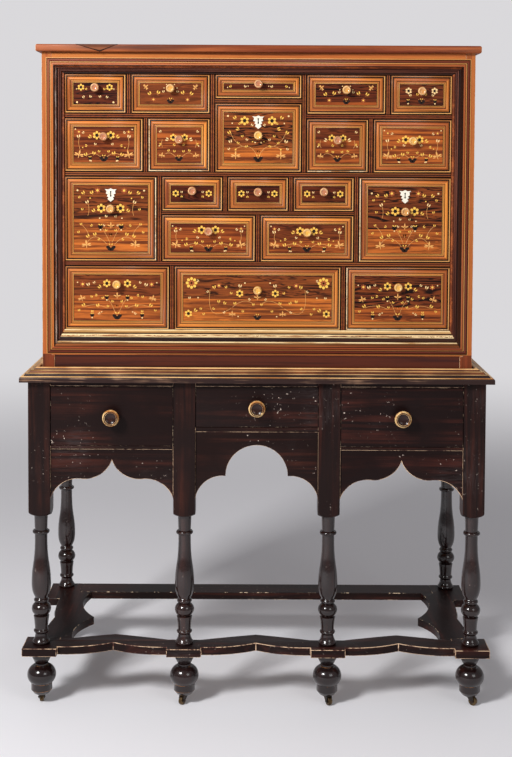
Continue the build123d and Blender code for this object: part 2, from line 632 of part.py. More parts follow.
def runner(drawer_x, outward, guide_width, z, back_y):
    """L-shaped runner: a ledge under a drawer's side and a guide beside it."""
    ledge_end = drawer_x - outward * RUNNER_WIDTH
    guide_end = drawer_x + outward * guide_width
    ledge = block(*sorted((ledge_end, guide_end)), POST_SIZE, back_y, z - RUNNER_THICKNESS, z)
    guide = block(*sorted((drawer_x, guide_end)), POST_SIZE, back_y, z, z + GUIDE_HEIGHT)
    return ledge + guide


def drawer_runners():
    """Runners for the stand's drawers: outer ones end at the rear posts, the rest at the back rail."""
    outer = LEG_X - POST_SIZE / 2
    inner = outer - 2 * BAY_HALF
    outer_guide = SIDE_PANEL_X - outer
    inner_guide = POST_SIZE / 2
    right = [
        runner(outer, 1, outer_guide, SIDE_DRAWER_BOTTOM_Z, REAR_LEG_Y - POST_SIZE / 2),
        runner(inner, -1, inner_guide, SIDE_DRAWER_BOTTOM_Z, BACK_RAIL_Y),
        runner(BAY_HALF, 1, inner_guide, CENTRE_DRAWER_BOTTOM_Z, BACK_RAIL_Y),
    ]
    return [copy for piece in right for copy in mirrored(piece)]


def moulding_section():
    """Edge moulding in (distance in from the outer edge, height): reeds stepping up inwards."""
    reed = MOULDING_WIDTH / MOULDING_STEPS
    rise = (MOULDING_RISE - MOULDING_EDGE) / MOULDING_STEPS
    crown = 0.3 * rise
    edges = [Line((0, 0), (0, MOULDING_EDGE))]
    for step in range(MOULDING_STEPS):
        x0, z0 = step * reed, MOULDING_EDGE + step * rise
        x1, z1 = x0 + reed, z0 + rise - crown
        edges.append(ThreePointArc((x0, z0), (x0 + 0.5 * reed, z1 + crown), (x1, z1)))
        next_z = z0 + rise if step < MOULDING_STEPS - 1 else z1
        if next_z != z1:
            edges.append(Line((x1, z1), (x1, next_z)))
    edges.append(Polyline((x1, z1), (MOULDING_WIDTH, 0), (0, 0)))
    return edges


def stand_top_moulding():
    """Front length mitred to the two side lengths."""
    section = moulding_section()
    front_y = -MOULDING_OVERHANG
    level = Plane(origin=(0, 0, POST_TOP_Z))
    front_plane = Plane(origin=(-TOP_X, front_y, POST_TOP_Z), x_dir=(0, 1, 0), z_dir=(1, 0, 0))
    front = board_from(front_plane, section, 2 * TOP_X)
    corners = [(-TOP_X, front_y), (TOP_X, front_y), (BOARD_X, BOARD_FRONT_Y), (-BOARD_X, BOARD_FRONT_Y)]
    front_mitre = board_from(level, [Polyline(*corners, close=True)], MOULDING_RISE + CUT_MARGIN)
    side_plane = Plane(origin=(TOP_X, front_y, POST_TOP_Z), x_dir=(-1, 0, 0), z_dir=(0, 1, 0))
    side = board_from(side_plane, section, TOP_BACK_Y - front_y)
    corners = [(TOP_X, front_y), (TOP_X, TOP_BACK_Y), (BOARD_X, TOP_BACK_Y), (BOARD_X, BOARD_FRONT_Y)]
    side_mitre = board_from(level, [Polyline(*corners, close=True)], MOULDING_RISE + CUT_MARGIN)
    return [front & front_mitre] + mirrored(side & side_mitre)


def make_stand():
    """Feet, legs, stretchers, frame, runners, top board and edge moulding."""
    front_board = front_stretcher()
    save("bun_feet", *[Pos(x, y, 0) * bun_foot() for x, y in LEG_PLACES])
    save("front_stretcher", front_board)
    save("side_stretchers", *mirrored(side_stretcher(front_board)))
    save("back_stretcher", back_stretcher())

    aprons = front_aprons()
    rails = []
    for centre in BAY_CENTRES:
        bottom = CENTRE_DRAWER_BOTTOM_Z if centre == 0 else SIDE_DRAWER_BOTTOM_Z
        height = CENTRE_BEAD_HEIGHT if centre == 0 else SIDE_BEAD_HEIGHT
        rails += [beaded_rail(centre, bottom - height, height), top_rail(centre)]
    panels = mirrored(side_panel()) + [back_rail()]
    mortised = []
    for x, y in LEG_PLACES:
        piece = Pos(x, y, 0) * leg()
        for board in aprons + rails + panels:
            piece -= board
        mortised.append(piece)
    front_count = len(FRONT_LEGS_X)
    save("front_legs", *mortised[:front_count])
    save("rear_legs", *mortised[front_count:])
    save("front_aprons", *aprons)
    save("drawer_rails", *rails)
    save("side_and_back_rails", *panels)
    save("drawer_runners", *drawer_runners())
    save("stand_top", block(-BOARD_X, BOARD_X, BOARD_FRONT_Y, TOP_BACK_Y, POST_TOP_Z, STAND_BOARD_Z))
    save("stand_top_moulding", *stand_top_moulding())


# ================================================================ case
def frame_section():
    """Inner frame moulding in fractions of its width and depth, from the face to the drawers."""
    return [
        Polyline((0, 1), (0, 0), (0.2, 0.36), (0.27, 0.36), (0.27, 0.52), (0.32, 0.56)),
        ThreePointArc((0.32, 0.56), (0.42, 0.5), (0.52, 0.62)),
        ThreePointArc((0.52, 0.62), (0.62, 0.56), (0.72, 0.68)),
        Polyline((0.72, 0.68), (0.72, 0.84), (0.8, 0.84), (0.8, 0.78)),
        Polyline((0.8, 0.78), (0.94, 0.78), (1, 0.86), (1, 1), (0, 1)),
    ]


def frame_length(start, end, width, inward):
    """A straight length of the frame moulding along the case's front, between two outer corners."""
    stretched = scale(make_face(Curve() + frame_section()), by=(width, FRAME_DEPTH, 1))
    run = Vector(*end) - Vector(*start)
    origin = (start[0], CASE_FRONT_Y, start[1])
    plane = Plane(origin=origin, x_dir=(inward[0], 0, inward[1]), z_dir=(run.X, 0, run.Y))
    return extrude(plane * stretched, run.length, dir=plane.z_dir)


def front_frame_moulding():
    """Four lengths round the nest, clockwise from the left one, mitred where they meet."""
    outer = [
        (-CASE_INNER_X, NEST_BOTTOM_Z),
        (-CASE_INNER_X, NEST_TOP_Z),
        (CASE_INNER_X, NEST_TOP_Z),
        (CASE_INNER_X, NEST_BOTTOM_Z),
    ]
    inner = [(-NEST_X, ROW_5_Z), (-NEST_X, HEAD_Z), (NEST_X, HEAD_Z), (NEST_X, ROW_5_Z)]
    widths = (LINER_THICKNESS, HEAD_HEIGHT, LINER_THICKNESS, SILL_HEIGHT)
    inwards = ((1, 0), (0, -1), (-1, 0), (0, 1))
    lengths = []
    for side in range(4):
        after = (side + 1) % 4
        length = frame_length(outer[side], outer[after], widths[side], inwards[side])
        corners = Polyline(outer[side], outer[after], inner[after], inner[side], close=True)
        mitre_plane = Plane.XZ.offset(-NEST_FRONT_Y - CUT_MARGIN)
        mitre = board_from(mitre_plane, [corners], FRAME_DEPTH + 2 * CUT_MARGIN)
        lengths.append(length & mitre)
    return lengths


def make_case():
    """Sides, top, bottom, back, plinth, cap and the frame moulding."""
    half = CASE_WIDTH / 2
    housed = CASE_INNER_X + CASE_HOUSING
    y0, y1 = CASE_FRONT_Y, CASE_BACK_Y
    back_z = NEST_BOTTOM_Z - BACK_LAP / 2
    back = block(-housed, housed, PANEL_BACK_Y, y1, back_z, CASE_TOP_Z - BACK_LAP)
    top = block(-housed, housed, y0, y1, NEST_TOP_Z, CASE_TOP_Z) - back
    bottom = block(-housed, housed, y0, y1, CASE_BOTTOM_Z, NEST_BOTTOM_Z) - back
    side = block(CASE_INNER_X, half, y0, y1, STAND_BOARD_Z, CASE_TOP_Z) - back - top - bottom
    plinth_y = y0 + PLINTH_SETBACK
    plinth = [
        block(-CASE_INNER_X, CASE_INNER_X, y, y + PLINTH_THICKNESS, STAND_BOARD_Z, CASE_BOTTOM_Z)
        for y in (plinth_y, y1 - PLINTH_THICKNESS)
    ]
    cap_x = half + CAP_OVERHANG
    cap = block(-cap_x, cap_x, y0 - CAP_OVERHANG, y1, CASE_TOP_Z, CASE_TOP_Z + CAP_THICKNESS)
    front_edges = cap.edges().filter_by(Axis.X).group_by(Axis.Y)[0]
    cap = fillet(front_edges + cap.edges().filter_by(Axis.Y), CAP_EDGE)
    save("case_back", back)
    save("case_top_panel", top)
    save("case_bottom", bottom)
    save("case_sides", *mirrored(side))
    save("plinth_rail", *plinth)
    save("cap_board", cap)
    save("front_frame_moulding", *front_frame_moulding())


# ================================================================ nest of drawers
def row_pockets(row, x0, z0, height, widths, first=1):
    """Pockets of one row from left to right: name to (x0, x1, z0, z1)."""
    pockets = {}
    for number, width in enumerate(widths, start=first):
        pockets[f"case_drawer_{row}_{number}"] = (x0, x0 + width, z0, z0 + height)
        x0 += width + PARTITION_THICKNESS
    return pockets


def all_pockets():
    """Every drawer opening of the nest, by node name."""
    block_x = CENTRE_BLOCK_WIDTH / 2
    wing = NEST_X - block_x - PARTITION_THICKNESS
    inner_1 = wing - ROW_1_END_WIDTH - PARTITION_THICKNESS
    inner_2 = wing - ROW_2_END_WIDTH - PARTITION_THICKNESS
    big_x = NEST_X - LOCK_DRAWER_WIDTH
    middle_x = big_x - PARTITION_THICKNESS
    small = (2 * middle_x - 2 * PARTITION_THICKNESS) / 3
    wide = (2 * middle_x - PARTITION_THICKNESS) / 2
    centre_5 = 2 * (NEST_X - ROW_5_END_WIDTH - PARTITION_THICKNESS)
    pockets = {}
    pockets |= row_pockets(1, -NEST_X, ROW_1_Z, ROW_1_HEIGHT, (ROW_1_END_WIDTH, inner_1))
    pockets |= row_pockets(1, -block_x, THIN_DRAWER_Z, THIN_DRAWER_HEIGHT, (CENTRE_BLOCK_WIDTH,), 3)
    right_x = block_x + PARTITION_THICKNESS
    pockets |= row_pockets(1, right_x, ROW_1_Z, ROW_1_HEIGHT, (inner_1, ROW_1_END_WIDTH), 4)
    lock_height = THIN_DRAWER_Z - SHELF_THICKNESS - ROW_2_Z
    pockets |= row_pockets(2, -NEST_X, ROW_2_Z, ROW_2_HEIGHT, (ROW_2_END_WIDTH, inner_2))
    pockets |= row_pockets(2, -block_x, ROW_2_Z, lock_height, (CENTRE_BLOCK_WIDTH,), 3)
    pockets |= row_pockets(2, right_x, ROW_2_Z, ROW_2_HEIGHT, (inner_2, ROW_2_END_WIDTH), 4)
    big_height = ROW_3_Z + ROW_3_HEIGHT - ROW_4_Z
    pockets |= row_pockets(3, -NEST_X, ROW_4_Z, big_height, (LOCK_DRAWER_WIDTH,))
    pockets |= row_pockets(3, -middle_x, ROW_3_Z, ROW_3_HEIGHT, (small, small, small), 2)
    pockets |= row_pockets(3, big_x, ROW_4_Z, big_height, (LOCK_DRAWER_WIDTH,), 5)
    pockets |= row_pockets(4, -middle_x, ROW_4_Z, ROW_4_HEIGHT, (wide, wide))
    pockets |= row_pockets(5, -NEST_X, ROW_5_Z, ROW_5_HEIGHT, (ROW_5_END_WIDTH, centre_5, ROW_5_END_WIDTH))
    return pockets


POCKETS = all_pockets()

# Height of each knob's centre below the top of its opening.
KNOB_DROPS = {
    "case_drawer_1_1": 32.0, "case_drawer_1_2": 33.0, "case_drawer_1_3": 22.0,
    "case_drawer_1_4": 35.0, "case_drawer_1_5": 37.0,
    "case_drawer_2_1": 43.0, "case_drawer_2_2": 49.0, "case_drawer_2_3": 74.0,
    "case_drawer_2_4": 49.0, "case_drawer_2_5": 50.0,
    "case_drawer_3_1": 75.0, "case_drawer_3_2": 33.0, "case_drawer_3_3": 35.0,
    "case_drawer_3_4": 34.0, "case_drawer_3_5": 79.0,
    "case_drawer_4_1": 38.0, "case_drawer_4_2": 40.0,
    "case_drawer_5_1": 43.0, "case_drawer_5_2": 55.0, "case_drawer_5_3": 47.0,
}

# Each locking drawer, with its bolt's node and the keyhole plate's height below the opening's top.
LOCKS = {
    "case_drawer_2_3": ("lock_bolt_centre", 44.0),
    "case_drawer_3_1": ("lock_bolt_left", 44.0),
    "case_drawer_3_5": ("lock_bolt_right", 45.0),
}


def lock_x(pocket):
    """Middle of a locking drawer."""
    return (pocket[0] + pocket[1]) / 2


def bolt_box(pocket, clearance, z0, z1):
    """The bolt's section between two heights, with an all-round clearance."""
    x = lock_x(pocket)
    y0 = DRAWER_FRONT_Y + FRONT_THICKNESS + LOCK_WALL + BOLT_CLEARANCE
    half = BOLT_WIDTH / 2 + clearance
    return block(x - half, x + half, y0 - clearance, y0 + BOLT_THICKNESS + clearance, z0, z1)


def nest_boards():
    """Shelves and uprights, housed into each other and into the liners."""
    y0, y1 = NEST_FRONT_Y, PANEL_BACK_Y

    def upright(x0, z0, z1):
        """A vertical board of partition thickness, housed at both ends."""
        return block(x0, x0 + PARTITION_THICKNESS, y0, y1, z0 - HOUSING, z1 + HOUSING)

    def shelf(x0, x1, z1, thickness):
        """A horizontal board below z1, housed at both ends."""
        return block(x0 - HOUSING, x1 + HOUSING, y0, y1, z1 - thickness, z1)

    def right_edges(*names):
        """The right-hand faces of the named drawer openings."""
        return [POCKETS[name][1] for name in names]

    head = shelf(-NEST_X, NEST_X, NEST_TOP_Z, HEAD_HEIGHT)
    through = [head]
    through += [shelf(-NEST_X, NEST_X, z, SHELF_THICKNESS) for z in (ROW_2_Z, ROW_4_Z, ROW_5_Z)]
    block_x = CENTRE_BLOCK_WIDTH / 2
    big_x = NEST_X - LOCK_DRAWER_WIDTH
    short = mirrored(shelf(block_x + PARTITION_THICKNESS, NEST_X, ROW_1_Z, SHELF_THICKNESS))
    short.append(shelf(-block_x, block_x, THIN_DRAWER_Z, SHELF_THICKNESS))
    middle_x = big_x - PARTITION_THICKNESS
    short.append(shelf(-middle_x, middle_x, ROW_3_Z, SUB_SHELF_THICKNESS))

    strong = mirrored(upright(block_x, ROW_2_Z, HEAD_Z))
    strong += mirrored(upright(middle_x, ROW_4_Z, ROW_3_Z + ROW_3_HEIGHT))
    row_1_top = ROW_1_Z - SHELF_THICKNESS
    light = []
    for x in right_edges("case_drawer_1_1", "case_drawer_1_4"):
        light.append(upright(x, ROW_1_Z, HEAD_Z))
    for x in right_edges("case_drawer_2_1", "case_drawer_2_4"):
        light.append(upright(x, ROW_2_Z, row_1_top))
    for x in right_edges("case_drawer_3_2", "case_drawer_3_3"):
        light.append(upright(x, ROW_3_Z, ROW_3_Z + ROW_3_HEIGHT))
    for x in right_edges("case_drawer_4_1"):
        light.append(upright(x, ROW_4_Z, ROW_3_Z - SUB_SHELF_THICKNESS))
    for x in right_edges("case_drawer_5_1", "case_drawer_5_2"):
        light.append(upright(x, ROW_5_Z, ROW_5_Z + ROW_5_HEIGHT))
    liners = mirrored(block(NEST_X, CASE_INNER_X, y0, y1, NEST_BOTTOM_Z, NEST_TOP_Z))

    def housed(boards, cutters):
        """The boards with a housing cut for each cutter that enters them."""
        results = []
        for board in boards:
            for cutter in cutters:
                board = board - cutter
            results.append(board)
        return results

    cut_through = housed(through, strong + light)
    cut_short = housed(short, light)
    mortises = []
    for name in LOCKS:
        shelf_z = POCKETS[name][3]
        mortise_top = shelf_z + BOLT_THROW + MORTISE_CLEARANCE
        mortises.append(bolt_box(POCKETS[name], MORTISE_CLEARANCE, shelf_z - CUT_MARGIN, mortise_top))
    shelves = housed(cut_through + cut_short, mortises)
    uprights = housed(liners, through + short) + housed(strong, short) + light
    return shelves, uprights


# ================================================================ drawers
def turned_knob(diameter, reach, tail):
    """Turned knob on the Y axis: dished face forwards, shank running back by tail."""
    radius = diameter / 2
    shank = 0.2 * diameter
    neck = 0.27 * diameter
    collar = 0.35 * diameter
    shoulder = 0.9 * radius
    rim = 0.66 * radius
    dish = 0.25 * radius
    dish_y = -0.87 * reach
    outline = [
        Line((0, tail), (shank, tail)),
        Line((shank, tail), (shank, 0)),
        Line((shank, 0), (collar, 0)),
        Spline((collar, 0), (neck, -0.25 * reach), (shoulder, -0.5 * reach)),
        ThreePointArc((shoulder, -0.5 * reach), (radius, -0.68 * reach), (shoulder, -0.86 * reach)),
        Polyline((shoulder, -0.86 * reach), (0.8 * radius, -reach), (rim, -reach)),
        ThreePointArc((rim, -reach), (0.47 * radius, -0.91 * reach), (dish, dish_y)),
        Polyline((dish, dish_y), (0, dish_y), (0, tail)),
    ]
    return revolve(make_face(Curve() + outline), Axis.Y)


def drawer_box(pocket, front_y, back_y, front_t, side_t, bottom_t):
    """Front, two sides, back and bottom of a drawer that fills a pocket, as separate boards."""
    x0, x1 = pocket[0] + DRAWER_CLEARANCE, pocket[1] - DRAWER_CLEARANCE
    z0, z1 = pocket[2] + DRAWER_LIFT, pocket[3] - DRAWER_CLEARANCE
    lap_y = front_y + front_t / 2
    side_top = z1 - DRAWER_SIDE_DROP
    left = block(x0, x0 + side_t, lap_y, back_y, z0, side_top)
    right = block(x1 - side_t, x1, lap_y, back_y, z0, side_top)
    bottom = block(x0 + side_t, x1 - side_t, lap_y, back_y, z0, z0 + bottom_t)
    back = block(x0 + side_t, x1 - side_t, back_y - side_t, back_y, z0 + bottom_t, side_top)
    front = block(x0, x1, front_y, front_y + front_t, z0, z1) - left - right - bottom
    return front, [left, right, bottom, back]


def keyhole(x, z, y0, y1):
    """Keyhole cutter: two round ends joined by a slot, from y0 back to y1."""
    ends = [Pos(x, height) * Circle(KEYHOLE_RADIUS) for height in (z, z - KEYHOLE_DROP)]
    slot = Pos(x, z - KEYHOLE_DROP / 2) * Rectangle(KEYHOLE_SLOT, KEYHOLE_DROP)
    sketch = ends[0] + ends[1] + slot
    return extrude(Plane.XZ.offset(-y1) * sketch, y1 - y0)


def escutcheon(x, z, front_y):
    """Bone keyhole plate: a three-pointed crown over barbed sides that run to a tip."""
    right = [(0, ESCUTCHEON_CREST), *ESCUTCHEON_CORNERS, (0, -ESCUTCHEON_TIP)]
    left = [(-px, pz) for px, pz in reversed(ESCUTCHEON_CORNERS)]
    outline = right + left
    plate = extrude(Plane.XZ * make_face(Polyline(*outline, close=True)), ESCUTCHEON_THICKNESS)
    return Pos(x, front_y, z) * plate


def lock_case(pocket, keyhole_z):
    """Iron lock box on the back of the front board, open above for the bolt."""
    x = lock_x(pocket)
    y0 = DRAWER_FRONT_Y + FRONT_THICKNESS
    z1 = pocket[3] - DRAWER_CLEARANCE - DRAWER_SIDE_DROP
    z0 = keyhole_z - KEYHOLE_DROP - LOCK_BELOW_KEYHOLE
    box = block(x - LOCK_WIDTH / 2, x + LOCK_WIDTH / 2, y0, y0 + LOCK_THICKNESS, z0, z1)
    bolt_low = z1 - BOLT_HEIGHT
    channel = bolt_box(pocket, BOLT_CLEARANCE, bolt_low - BOLT_CLEARANCE, z1 + CUT_MARGIN)
    return box - channel, bolt_low, z1


def make_case_drawers():
    """The nest's drawers, each a box with its knob, and lock parts where it has one."""
    for name, pocket in POCKETS.items():
        back_y = PANEL_BACK_Y - DRAWER_BACK_GAP
        thicknesses = (FRONT_THICKNESS, DRAWER_SIDE_THICKNESS, DRAWER_BOTTOM_THICKNESS)
        front, box = drawer_box(pocket, DRAWER_FRONT_Y, back_y, *thicknesses)
        x = (pocket[0] + pocket[1]) / 2
        knob = turned_knob(CASE_KNOB_DIAMETER, CASE_KNOB_REACH, FRONT_THICKNESS)
        knob = Pos(x, DRAWER_FRONT_Y, pocket[3] - KNOB_DROPS[name]) * knob
        front -= knob
        pieces = box + [knob]
        if name in LOCKS:
            bolt_node, drop = LOCKS[name]
            plate_z = pocket[3] - drop
            key_z = plate_z + KEYHOLE_RISE
            case, bolt_low, bolt_high = lock_case(pocket, key_z)
            deep = DRAWER_FRONT_Y + FRONT_THICKNESS + LOCK_WALL
            cutter = keyhole(x, key_z, DRAWER_FRONT_Y - ESCUTCHEON_THICKNESS - CUT_MARGIN, deep)
            front -= cutter
            pieces += [escutcheon(x, plate_z, DRAWER_FRONT_Y) - cutter, case - cutter]
            save(bolt_node, bolt_box(pocket, 0, bolt_low, bolt_high))
        save(name, front, *pieces)


def make_stand_drawers():
    """Three drawers in the stand, under one top rail."""
    names = ("stand_drawer_left", "stand_drawer_centre", "stand_drawer_right")
    for name, centre in zip(names, BAY_CENTRES):
        bottom = CENTRE_DRAWER_BOTTOM_Z if centre == 0 else SIDE_DRAWER_BOTTOM_Z
        pocket = (centre - BAY_HALF, centre + BAY_HALF, bottom, STAND_DRAWER_TOP_Z)
        back_y = BACK_RAIL_Y - DRAWER_BACK_GAP
        thicknesses = (STAND_FRONT_THICKNESS, STAND_SIDE_THICKNESS, STAND_BOTTOM_THICKNESS)
        front, box = drawer_box(pocket, STAND_DRAWER_Y, back_y, *thicknesses)
        knob = turned_knob(STAND_KNOB_DIAMETER, STAND_KNOB_REACH, STAND_FRONT_THICKNESS)
        knob = Pos(centre, STAND_DRAWER_Y, (pocket[2] + pocket[3]) / 2) * knob
        save(name, front - knob, *box, knob)


def make_nest():
    """The shelves and the uprights, a node of each."""
    shelves, uprights = nest_boards()
    save("nest_shelves", *shelves)
    save("nest_uprights", *uprights)


make_casters()
make_stand()
make_case()
make_nest()
make_case_drawers()
make_stand_drawers()
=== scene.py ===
"""Finishes of a vargueno: a marquetry cabinet of small drawers on an ebonised turned stand."""

import json
import math
import random
from functools import cache
from typing import Callable, NamedTuple

import bmesh
import bpy
from bpy.props import FloatProperty, FloatVectorProperty, PointerProperty
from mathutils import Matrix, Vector

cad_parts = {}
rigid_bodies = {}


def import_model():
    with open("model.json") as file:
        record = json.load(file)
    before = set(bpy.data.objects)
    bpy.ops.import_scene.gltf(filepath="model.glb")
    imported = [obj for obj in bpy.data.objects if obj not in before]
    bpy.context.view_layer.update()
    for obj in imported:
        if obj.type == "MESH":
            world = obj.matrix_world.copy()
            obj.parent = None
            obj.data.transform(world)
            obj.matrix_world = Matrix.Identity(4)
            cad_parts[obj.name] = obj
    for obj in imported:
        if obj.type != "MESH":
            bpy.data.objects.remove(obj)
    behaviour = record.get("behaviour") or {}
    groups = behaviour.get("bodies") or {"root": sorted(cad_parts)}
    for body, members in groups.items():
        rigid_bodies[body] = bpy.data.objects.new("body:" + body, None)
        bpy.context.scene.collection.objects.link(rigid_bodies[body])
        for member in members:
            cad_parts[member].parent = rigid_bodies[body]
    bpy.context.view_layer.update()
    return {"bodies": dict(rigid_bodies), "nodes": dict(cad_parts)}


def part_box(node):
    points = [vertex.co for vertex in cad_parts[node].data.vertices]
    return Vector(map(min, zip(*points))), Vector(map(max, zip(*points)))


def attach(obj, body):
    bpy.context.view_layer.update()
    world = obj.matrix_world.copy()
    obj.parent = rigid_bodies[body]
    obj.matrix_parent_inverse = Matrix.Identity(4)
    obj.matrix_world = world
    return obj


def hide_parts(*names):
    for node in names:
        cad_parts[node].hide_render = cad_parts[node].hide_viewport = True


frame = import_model()

bl_info = {
    "name": "Vargueno",
    "version": (1, 0, 0),
    "blender": (4, 5, 0),
    "location": "3D View > Sidebar > Vargueno",
    "description": "Dresses a cabinet of marquetry drawers on a turned stand",
    "category": "Add Mesh",
}

MM = 0.001
CARCASS = "cabinet"
# Angles between faces: an edge to round, the most that is shaded smooth, the most within one flat.
SHARP = math.radians(32)
SMOOTH = math.radians(22)
COPLANAR = math.radians(0.3)

# Order of the solids in a drawer's node.
FRONT, LEFT, RIGHT, BOTTOM, BACK, KNOB, ESCUTCHEON, LOCK = range(8)
CASE_DRAWERS = sorted(name for name in frame["nodes"] if name.startswith("case_drawer_"))
STAND_DRAWERS = sorted(name for name in frame["nodes"] if name.startswith("stand_drawer_"))

# Bands round a drawer's field from its edge in, in millimetres: label, width, finish.
DRAWER_BANDS = (
    ("Edge line", 0.9, "dark_string"),
    ("Light string", 2.3, "light_string"),
    ("Dark band", 3.1, "dark_string"),
    ("Crossbanding", 6.6, "crossbanding"),
    ("Outer line", 1.3, "dark_string"),
    ("Gold band", 3.0, "gold_banding"),
    ("Middle line", 0.7, "dark_string"),
    ("Bright string", 1.3, "bright_string"),
    ("Inner line", 1.0, "dark_string"),
)
# The bands narrow on a drawer that would have a lower field than this.
LEAST_FIELD = 11 * MM

# Bands on the case's face, from the outside in: label, width, finish.
FACE_BANDS = (
    ("Outer light", 1.8, "face_string"),
    ("Outer dark", 1.4, "dark_string"),
    ("Red band", 5.1, "red_banding"),
    ("Inner dark", 1.4, "dark_string"),
    ("Inner light", 1.8, "face_string"),
    ("Middle line", 0.8, "dark_string"),
    ("Gold band", 4.6, "face_gold"),
    ("Frame line", 1.8, "dark_string"),
)

# Lines along the nest's front edges: label, distance of their middles from the edge's middle, width, finish.
NEST_LINES = (
    # The outer dark lines are painted shadow beside the drawers.
    ("Outer", 4.55, 1.5, "dark_string"),
    ("Light", 2.5, 1.2, "crossbanding"),
    ("Middle", 0.0, 0.9, "dark_string"),
)
# They are drawn for a board of this thickness, and narrowed on a thinner one.
NEST_BOARD = 11 * MM
# How deep the boards are housed in each other, where no lines run.
HOUSING = 3 * MM

# Thickness of the veneers, and how far veneers and inlay stand proud of the boards.
VENEER = 0.45 * MM
VENEER_PROUD = 0.15 * MM
INLAY_PROUD = 0.22 * MM

# Arrises of what the settings leave out: metal, thin boards and small parts, hidden boards, stretchers.
METAL_EDGE = 0.2 * MM
FINE_EDGE = 0.3 * MM
HIDDEN_EDGE = 0.4 * MM
STRETCHER_EDGE = 1.2 * MM
# Place of the worn edges' finish among a piece's finishes.
WORN = 1
# Boards that don't show: their finish, and that of their edges.
LININGS = ("deal", "worn_brown")


# ================================================================ settings
def colour(name, description, default):
    """A colour that a user may change."""
    return FloatVectorProperty(
        name=name, description=description, default=default, size=3, subtype="COLOR", min=0.0, max=1.0
    )


def length(name, description, default):
    """A size that a user may change, in metres."""
    return FloatProperty(name=name, description=description, default=default, min=0.0, unit="LENGTH")


class VarguenoWoods(bpy.types.PropertyGroup):
    """Colours of the woods, bone and metals."""

    face_gold: colour("Case face", "Golden wood on the case's front edges", (0.44, 0.128, 0.027))
    case_light: colour("Case light", "Light figure of the case's outer boards", (0.40, 0.098, 0.022))
    case_dark: colour("Case dark", "Dark figure of the case's outer boards", (0.15, 0.030, 0.007))
    crossband: colour("Crossbanding", "Orange band round each drawer", (0.60, 0.190, 0.034))
    gold_band: colour("Gold banding", "Two narrow bands round each field", (0.60, 0.225, 0.046))
    red_band: colour("Red banding", "Red-brown band on the case's face", (0.20, 0.038, 0.010))
    light_string: colour("Light string", "Boxwood lines", (0.74, 0.370, 0.110))
    # Painted shade: the dim string darkens the drawers' left and top light strings; it also darkens the case face's
    # bottom lines.
    dim_string: colour("Dim string", "Boxwood lines darkened by old polish", (0.36, 0.130, 0.030))
    bright_string: colour("Bright string", "Yellow line next to the field", (0.62, 0.290, 0.060))
    dark_string: colour("Dark string", "Ebony lines", (0.016, 0.004, 0.002))
    field_light: colour("Field light", "Light figure of the drawer fields", (0.46, 0.112, 0.020))
    field_dark: colour("Field dark", "Dark figure of the drawer fields", (0.130, 0.026, 0.008))
    field_vein: colour("Field veins", "Black veins of the drawer fields", (0.010, 0.003, 0.002))
    boxwood: colour("Boxwood", "Yellow leaves and petals", (0.86, 0.500, 0.085))
    pale_wood: colour("Pale inlay", "Pale petals and dots", (0.88, 0.600, 0.270))
    stem_wood: colour("Stems", "Thin brown-gold stems and lilies", (0.76, 0.370, 0.105))
    red_wood: colour("Red inlay", "Red-brown petals", (0.36, 0.085, 0.025))
    black_wood: colour("Black inlay", "Urns and hearts", (0.014, 0.006, 0.004))
    ebonised: colour("Ebonised wood", "Black stain of the stand", (0.011, 0.0045, 0.0040))
    ebonised_red: colour("Rubbed stain", "Red-brown where the stain is thin", (0.075, 0.019, 0.012))
    knob_pink: colour("Knob pink", "Pink-brown fruitwood knobs", (0.52, 0.190, 0.082))
    knob_yellow: colour("Knob yellow", "Yellow boxwood knobs", (0.82, 0.430, 0.070))
    bone: colour("Bone", "Keyhole plates", (0.84, 0.790, 0.660))
    deal: colour("Drawer linings", "Plain wood inside", (0.42, 0.240, 0.120))
    iron: colour("Iron", "Locks and caster forks", (0.055, 0.048, 0.044))
    brass: colour("Brass", "Caster wheels", (0.16, 0.105, 0.050))


class VarguenoSizes(bpy.types.PropertyGroup):
    """Sizes of worn edges and thin work."""

    case_edge: length("Case arris", "Rounding of the case's edges", 0.6 * MM)
    stand_edge: length("Stand arris", "Rounding of the stand's edges", 1.2 * MM)
    apron_edge: length("Apron arris", "Worn edge along the arches", 1.8 * MM)
    turned_edge: length("Turned arris", "Rounding of turned members", 0.35 * MM)
    stem: length("Stem", "Width of inlaid stems", 0.75 * MM)


class VarguenoStudio(bpy.types.PropertyGroup):
    """Camera, lamps and floor."""

    camera_distance: length("Camera distance", "Distance of the camera in front of the origin", 3.227)
    camera_height: length("Camera height", "Height of the camera", 1.274)
    lamp: FloatProperty(name="Lamp", description="Power of the main lamp", default=136.0, unit="POWER")
    fill: FloatProperty(name="Fill", description="Strength of the light from all round", default=0.40)
    floor: colour("Floor", "Floor near the object", (0.90, 0.89, 0.92))
    backdrop: colour("Backdrop", "Backdrop and far floor", (0.70, 0.69, 0.71))


def woods():
    """The colours in use."""
    return bpy.context.scene.vargueno_woods


def sizes():
    """The sizes in use."""
    return bpy.context.scene.vargueno_sizes


def placed(name, data):
    """A new object of the scene."""
    item = bpy.data.objects.new(name, data)
    bpy.context.scene.collection.objects.link(item)
    return item


